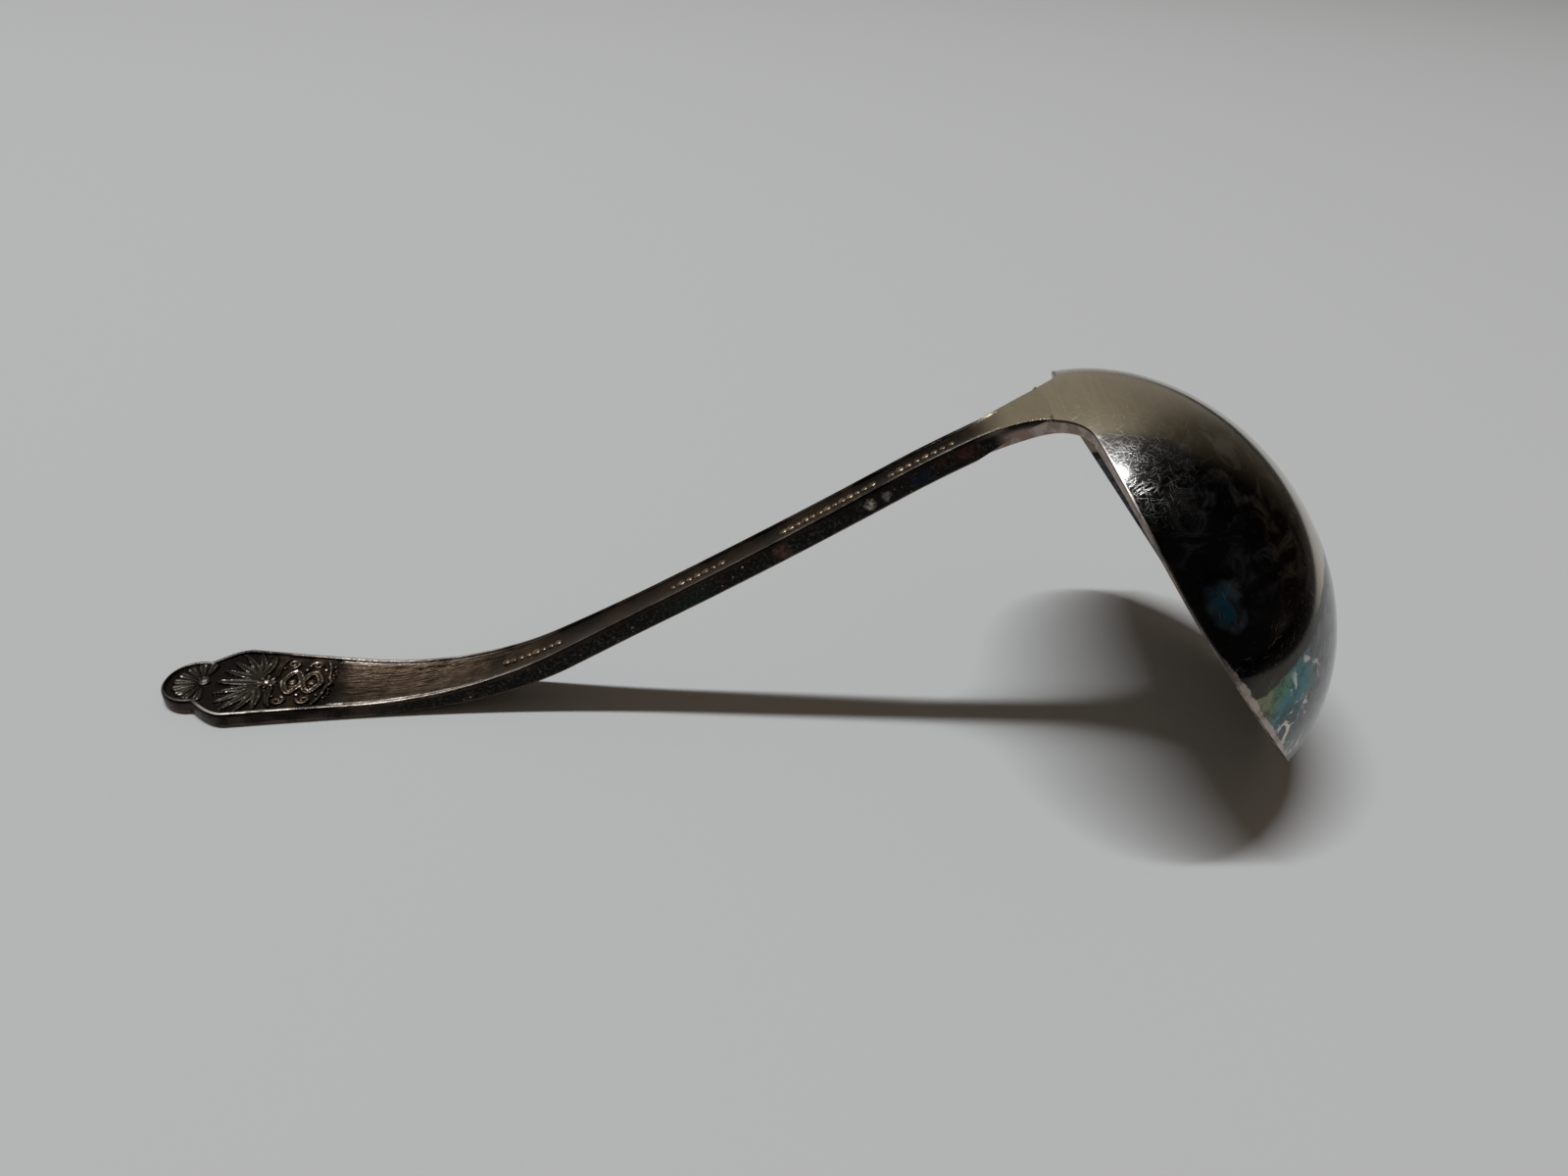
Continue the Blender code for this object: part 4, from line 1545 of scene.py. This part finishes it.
@dataclass
class HuskRuns(Piece):
    """Short runs of small husks along the bottom of the shank's channel, in mm from the tip."""

    runs: tuple[Range, ...] = ((50.0, 59.0), (78.0, 86.5), (96.0, 110.5), (113.0, 122.5))
    spacing: float = 1.15 * MM
    husk: Point = (1.35 * MM, 1.25 * MM, 0.46 * MM)
    sizes: Range = (0.60, 1.10)
    depth: float = 0.46 * MM
    path_step: float = 0.5
    seed: int = 7

    def path(self) -> bpy.types.Mesh:
        """Lines along the channel that the husks follow."""
        points, lines = [], []
        for start, end in self.runs:
            for step in np.arange(start, end, self.path_step) * MM:
                place, slope = self.form.spine(self.form.handle_length - step)
                if step > start * MM:
                    lines.append((len(points) - 1, len(points)))
                points.append(place + self.form.shift - self.form.across(slope)[1] * self.depth)
        mesh = bpy.data.meshes.new("husk_path")
        mesh.from_pydata(np.array(points).tolist(), lines, [])
        return mesh

    def tree(self) -> bpy.types.GeometryNodeTree:
        """Nodes that set one husk after another along the path's lines."""
        tree = bpy.data.node_groups.new("husk_runs", "GeometryNodeTree")
        for name, kind in (("Path", "NodeSocketGeometry"), ("Spacing", "NodeSocketFloat"),
                           ("Husk size", "NodeSocketVector"), ("Seed", "NodeSocketInt"),
                           ("Finish", "NodeSocketMaterial")):
            tree.interface.new_socket(name=name, in_out="INPUT", socket_type=kind)
        tree.interface.new_socket(name="Husks", in_out="OUTPUT", socket_type="NodeSocketGeometry")
        g = Graph(tree)
        given = g.nodes.new("NodeGroupInput").outputs
        curve = g.node("GeometryNodeMeshToCurve", "Curve", {"Mesh": given["Path"]})
        even = g.node("GeometryNodeResampleCurve", "Curve",
                      {"Curve": curve, "Length": given["Spacing"]}, mode="LENGTH")
        ball = g.node("GeometryNodeMeshUVSphere", "Mesh", {"Segments": 12, "Rings": 8, "Radius": 0.5})
        bud = g.node("GeometryNodeTransform", "Geometry",
                     {"Geometry": ball, "Scale": given["Husk size"]})
        tangent = g.node("GeometryNodeInputTangent", "Tangent", {})
        heading = g.node("FunctionNodeAlignRotationToVector", "Rotation", {"Vector": tangent},
                         axis="X", pivot_axis="Y")
        size = g.node("FunctionNodeRandomValue", 1,
                      {2: self.sizes[0], 3: self.sizes[1], "Seed": given["Seed"]}, data_type="FLOAT")
        row = g.node("GeometryNodeInstanceOnPoints", "Instances",
                     {"Points": even, "Instance": bud, "Rotation": heading, "Scale": size})
        real = g.node("GeometryNodeRealizeInstances", "Geometry", {"Geometry": row})
        soft = g.node("GeometryNodeSetShadeSmooth", "Geometry", {"Geometry": real})
        dressed = g.node("GeometryNodeSetMaterial", "Geometry",
                         {"Geometry": soft, "Material": given["Finish"]})
        g.put(g.nodes.new("NodeGroupOutput").inputs["Husks"], dressed)
        return tree

    def build(self, finish: bpy.types.Material) -> bpy.types.Object:
        """Make the husks as one plain mesh.

        Args:
            finish: Material of the husks.

        Returns:
            The object that holds them.
        """
        husks = new_object("ladle_husks", self.path())
        maker = husks.modifiers.new("husks", "NODES")
        maker.node_group = self.tree()
        named = {item.name: item.identifier for item in maker.node_group.interface.items_tree}
        maker[named["Spacing"]] = self.spacing
        maker[named["Husk size"]] = self.husk
        maker[named["Seed"]] = self.seed
        maker[named["Finish"]] = finish
        apply_modifiers(husks)
        set_attribute(husks.data, "husk", np.ones(len(husks.data.vertices)))
        return husks


@dataclass
class Solder(Piece):
    """Thin line of solder in the scarf."""

    solid: str | None = "solder_seam"
    slot: Slot = Slot.SOLDER
    film: float = 0.02 * MM
    margin: float = 0.05 * MM
    start_share: float = 0.05
    reach: float = 0.97
    steps: int = 24

    def build(self) -> bpy.types.Object:
        """Make the film as a thin closed plate."""
        form = self.form
        length = form.tongue_wall / math.sin(form.scarf_angle) * self.reach
        down = np.linspace(self.start_share * length, length, self.steps)
        half = np.array([
            form.neck_half(form.scarf_from_root + d * math.cos(form.scarf_angle)) for d in down
        ]) - self.margin
        outline = np.concatenate([
            np.stack([down, half], axis=1), np.stack([down, -half], axis=1)[::-1],
        ])
        scarf = form.scarf()
        faces = (-self.film / 2, self.film / 2)
        points = np.array([[scarf @ Vector((d, a, z)) for d, a in outline] for z in faces])
        mesh = make_mesh("solder", points, tube_faces(*points.shape[:2]))
        shade(mesh)
        return new_object("ladle_solder", mesh)


# Stage


@dataclass
class Studio:
    """Pale table, soft light from above and a camera at the photograph's angle."""

    form: LadleForm = FORM
    focal_px: float = 1162.0
    frame_px: float = 1600.0
    sensor_mm: float = 36.0
    pitch: float = math.radians(33.54)
    yaw: float = math.radians(5.44)
    roll: float = math.radians(3.67)
    camera_from_tip: Point = (76.956 * MM, -135.9 * MM, 110.18 * MM)
    touch_from_tip: float = 165.0 * MM
    nearest: float = 5.0 * MM
    lamp_way: Point = (-0.17, 0.09, 1.0)
    lamp_distance: float = 3.0
    lamp_size: Flat = (1.75, 0.15)
    lamp_power: float = 74.0
    lamp_colour: Colour = (0.985, 0.995, 1.0)
    wall: Colour = (0.34, 0.315, 0.27)
    dim: Colour = (0.075, 0.068, 0.055)
    dark: Colour = (0.005, 0.004, 0.004)
    front: Colour = (0.008, 0.007, 0.007)
    front_turn: Range = (-0.25, 0.10)
    far_share: float = 0.7
    level_least: float = 0.0001
    ceiling_share: float = 0.30
    ceiling_edge: Range = (0.845, 0.865)
    shade: Colour = (0.120, 0.094, 0.072)
    table_size: float = 12.0
    table_gap: float = 0.06 * MM

    def camera(self) -> None:
        """Place the camera."""
        form = self.form
        touch = form.rim_centre - form.to_neck * form.rim_radius + form.shift
        origin = touch[0] - self.touch_from_tip
        level = math.cos(self.pitch)
        ahead = Vector((math.sin(self.yaw) * level, math.cos(self.yaw) * level, -math.sin(self.pitch)))
        right = Vector((math.cos(self.yaw), -math.sin(self.yaw), 0))
        up = right.cross(ahead)
        right, up = (
            right * math.cos(self.roll) + up * math.sin(self.roll),
            up * math.cos(self.roll) - right * math.sin(self.roll),
        )
        data = bpy.data.cameras.new("camera")
        data.sensor_width = self.sensor_mm
        data.lens = self.focal_px / self.frame_px * self.sensor_mm
        data.clip_start = self.nearest
        thing = new_object("camera", data)
        thing.matrix_world = placed(right, up, -ahead, Vector(self.camera_from_tip) + Vector((origin, 0, 0)))
        bpy.context.scene.camera = thing

    def lamp(self) -> None:
        """Long narrow lamp over the table, along the ladle."""
        data = bpy.data.lights.new("lamp", "AREA")
        data.shape = "RECTANGLE"
        data.size, data.size_y = self.lamp_size
        data.energy = self.lamp_power
        data.color = self.lamp_colour
        way = Vector(self.lamp_way).normalized()
        long = (Vector((1, 0, 0)) - way * way.x).normalized()
        thing = new_object("lamp", data)
        thing.matrix_world = placed(long, way.cross(long), way, way * self.lamp_distance)

    def room(self) -> None:
        """World that mirrors as a pale wall behind, a dark room to the right and a dim ceiling."""
        world = bpy.data.worlds.new("studio")
        bpy.context.scene.world = world
        world.use_nodes = True
        g = Graph(world.node_tree)
        way = g.place("Generated")
        x, y, z = (g.part(way, axis) for axis in "XYZ")
        level = g.math("SQRT", g.plus(g.times(x, x), g.plus(g.times(y, y), self.level_least)))
        wall_end, dim_end = (tuple(self.far_share * c for c in tone) for tone in (self.wall, self.dim))
        stops = ((0.20, self.wall), (0.50, wall_end), (0.66, self.dim), (0.78, dim_end), (0.90, self.dark))
        walls = g.ramp(g.math("DIVIDE", x, level), stops)
        ahead = g.span(g.math("DIVIDE", y, level), *self.front_turn, 1.0, 0.0)
        walls = g.mix(ahead, walls, self.front)
        ceiling = g.span(z, *self.ceiling_edge, 1.0, self.ceiling_share)
        seen = g.most(g.ray("Is Camera Ray"), g.ray("Is Glossy Ray"))
        seen = g.most(seen, g.ray("Is Transmission Ray"))
        less = g.times(g.rest(ceiling), seen)
        g.set("Background", Color=g.mix(seen, self.shade, walls), Strength=g.rest(less))

    def table(self) -> None:
        """Pale table top under the ladle."""
        bpy.ops.mesh.primitive_plane_add(size=self.table_size, location=(0, 0, -self.table_gap))
        floor = bpy.context.object
        floor.name = "table"
        floor.data.materials.append(TableFinish().build())

    def build(self) -> None:
        """Set up the whole stage."""
        bpy.context.scene.view_settings.view_transform = "Standard"
        self.camera()
        self.lamp()
        self.room()
        self.table()


def main() -> None:
    """Build the stage and the ladle's pieces, and log each piece's face count."""
    logging.basicConfig(level=logging.INFO, format="%(message)s")
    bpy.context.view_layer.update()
    Studio().build()
    handle_plate = HandleFinish().build()
    bowl, handle, husks, solder = Bowl(), Handle(), HuskRuns(), Solder()
    bowl.dress(bowl.build(), BowlFinish().build())
    handle.dress(handle.build(), handle_plate)
    husks.dress(husks.build(handle_plate), handle_plate)
    solder.dress(solder.build(), SolderFinish().build())


if __name__ == "__main__":
    main()
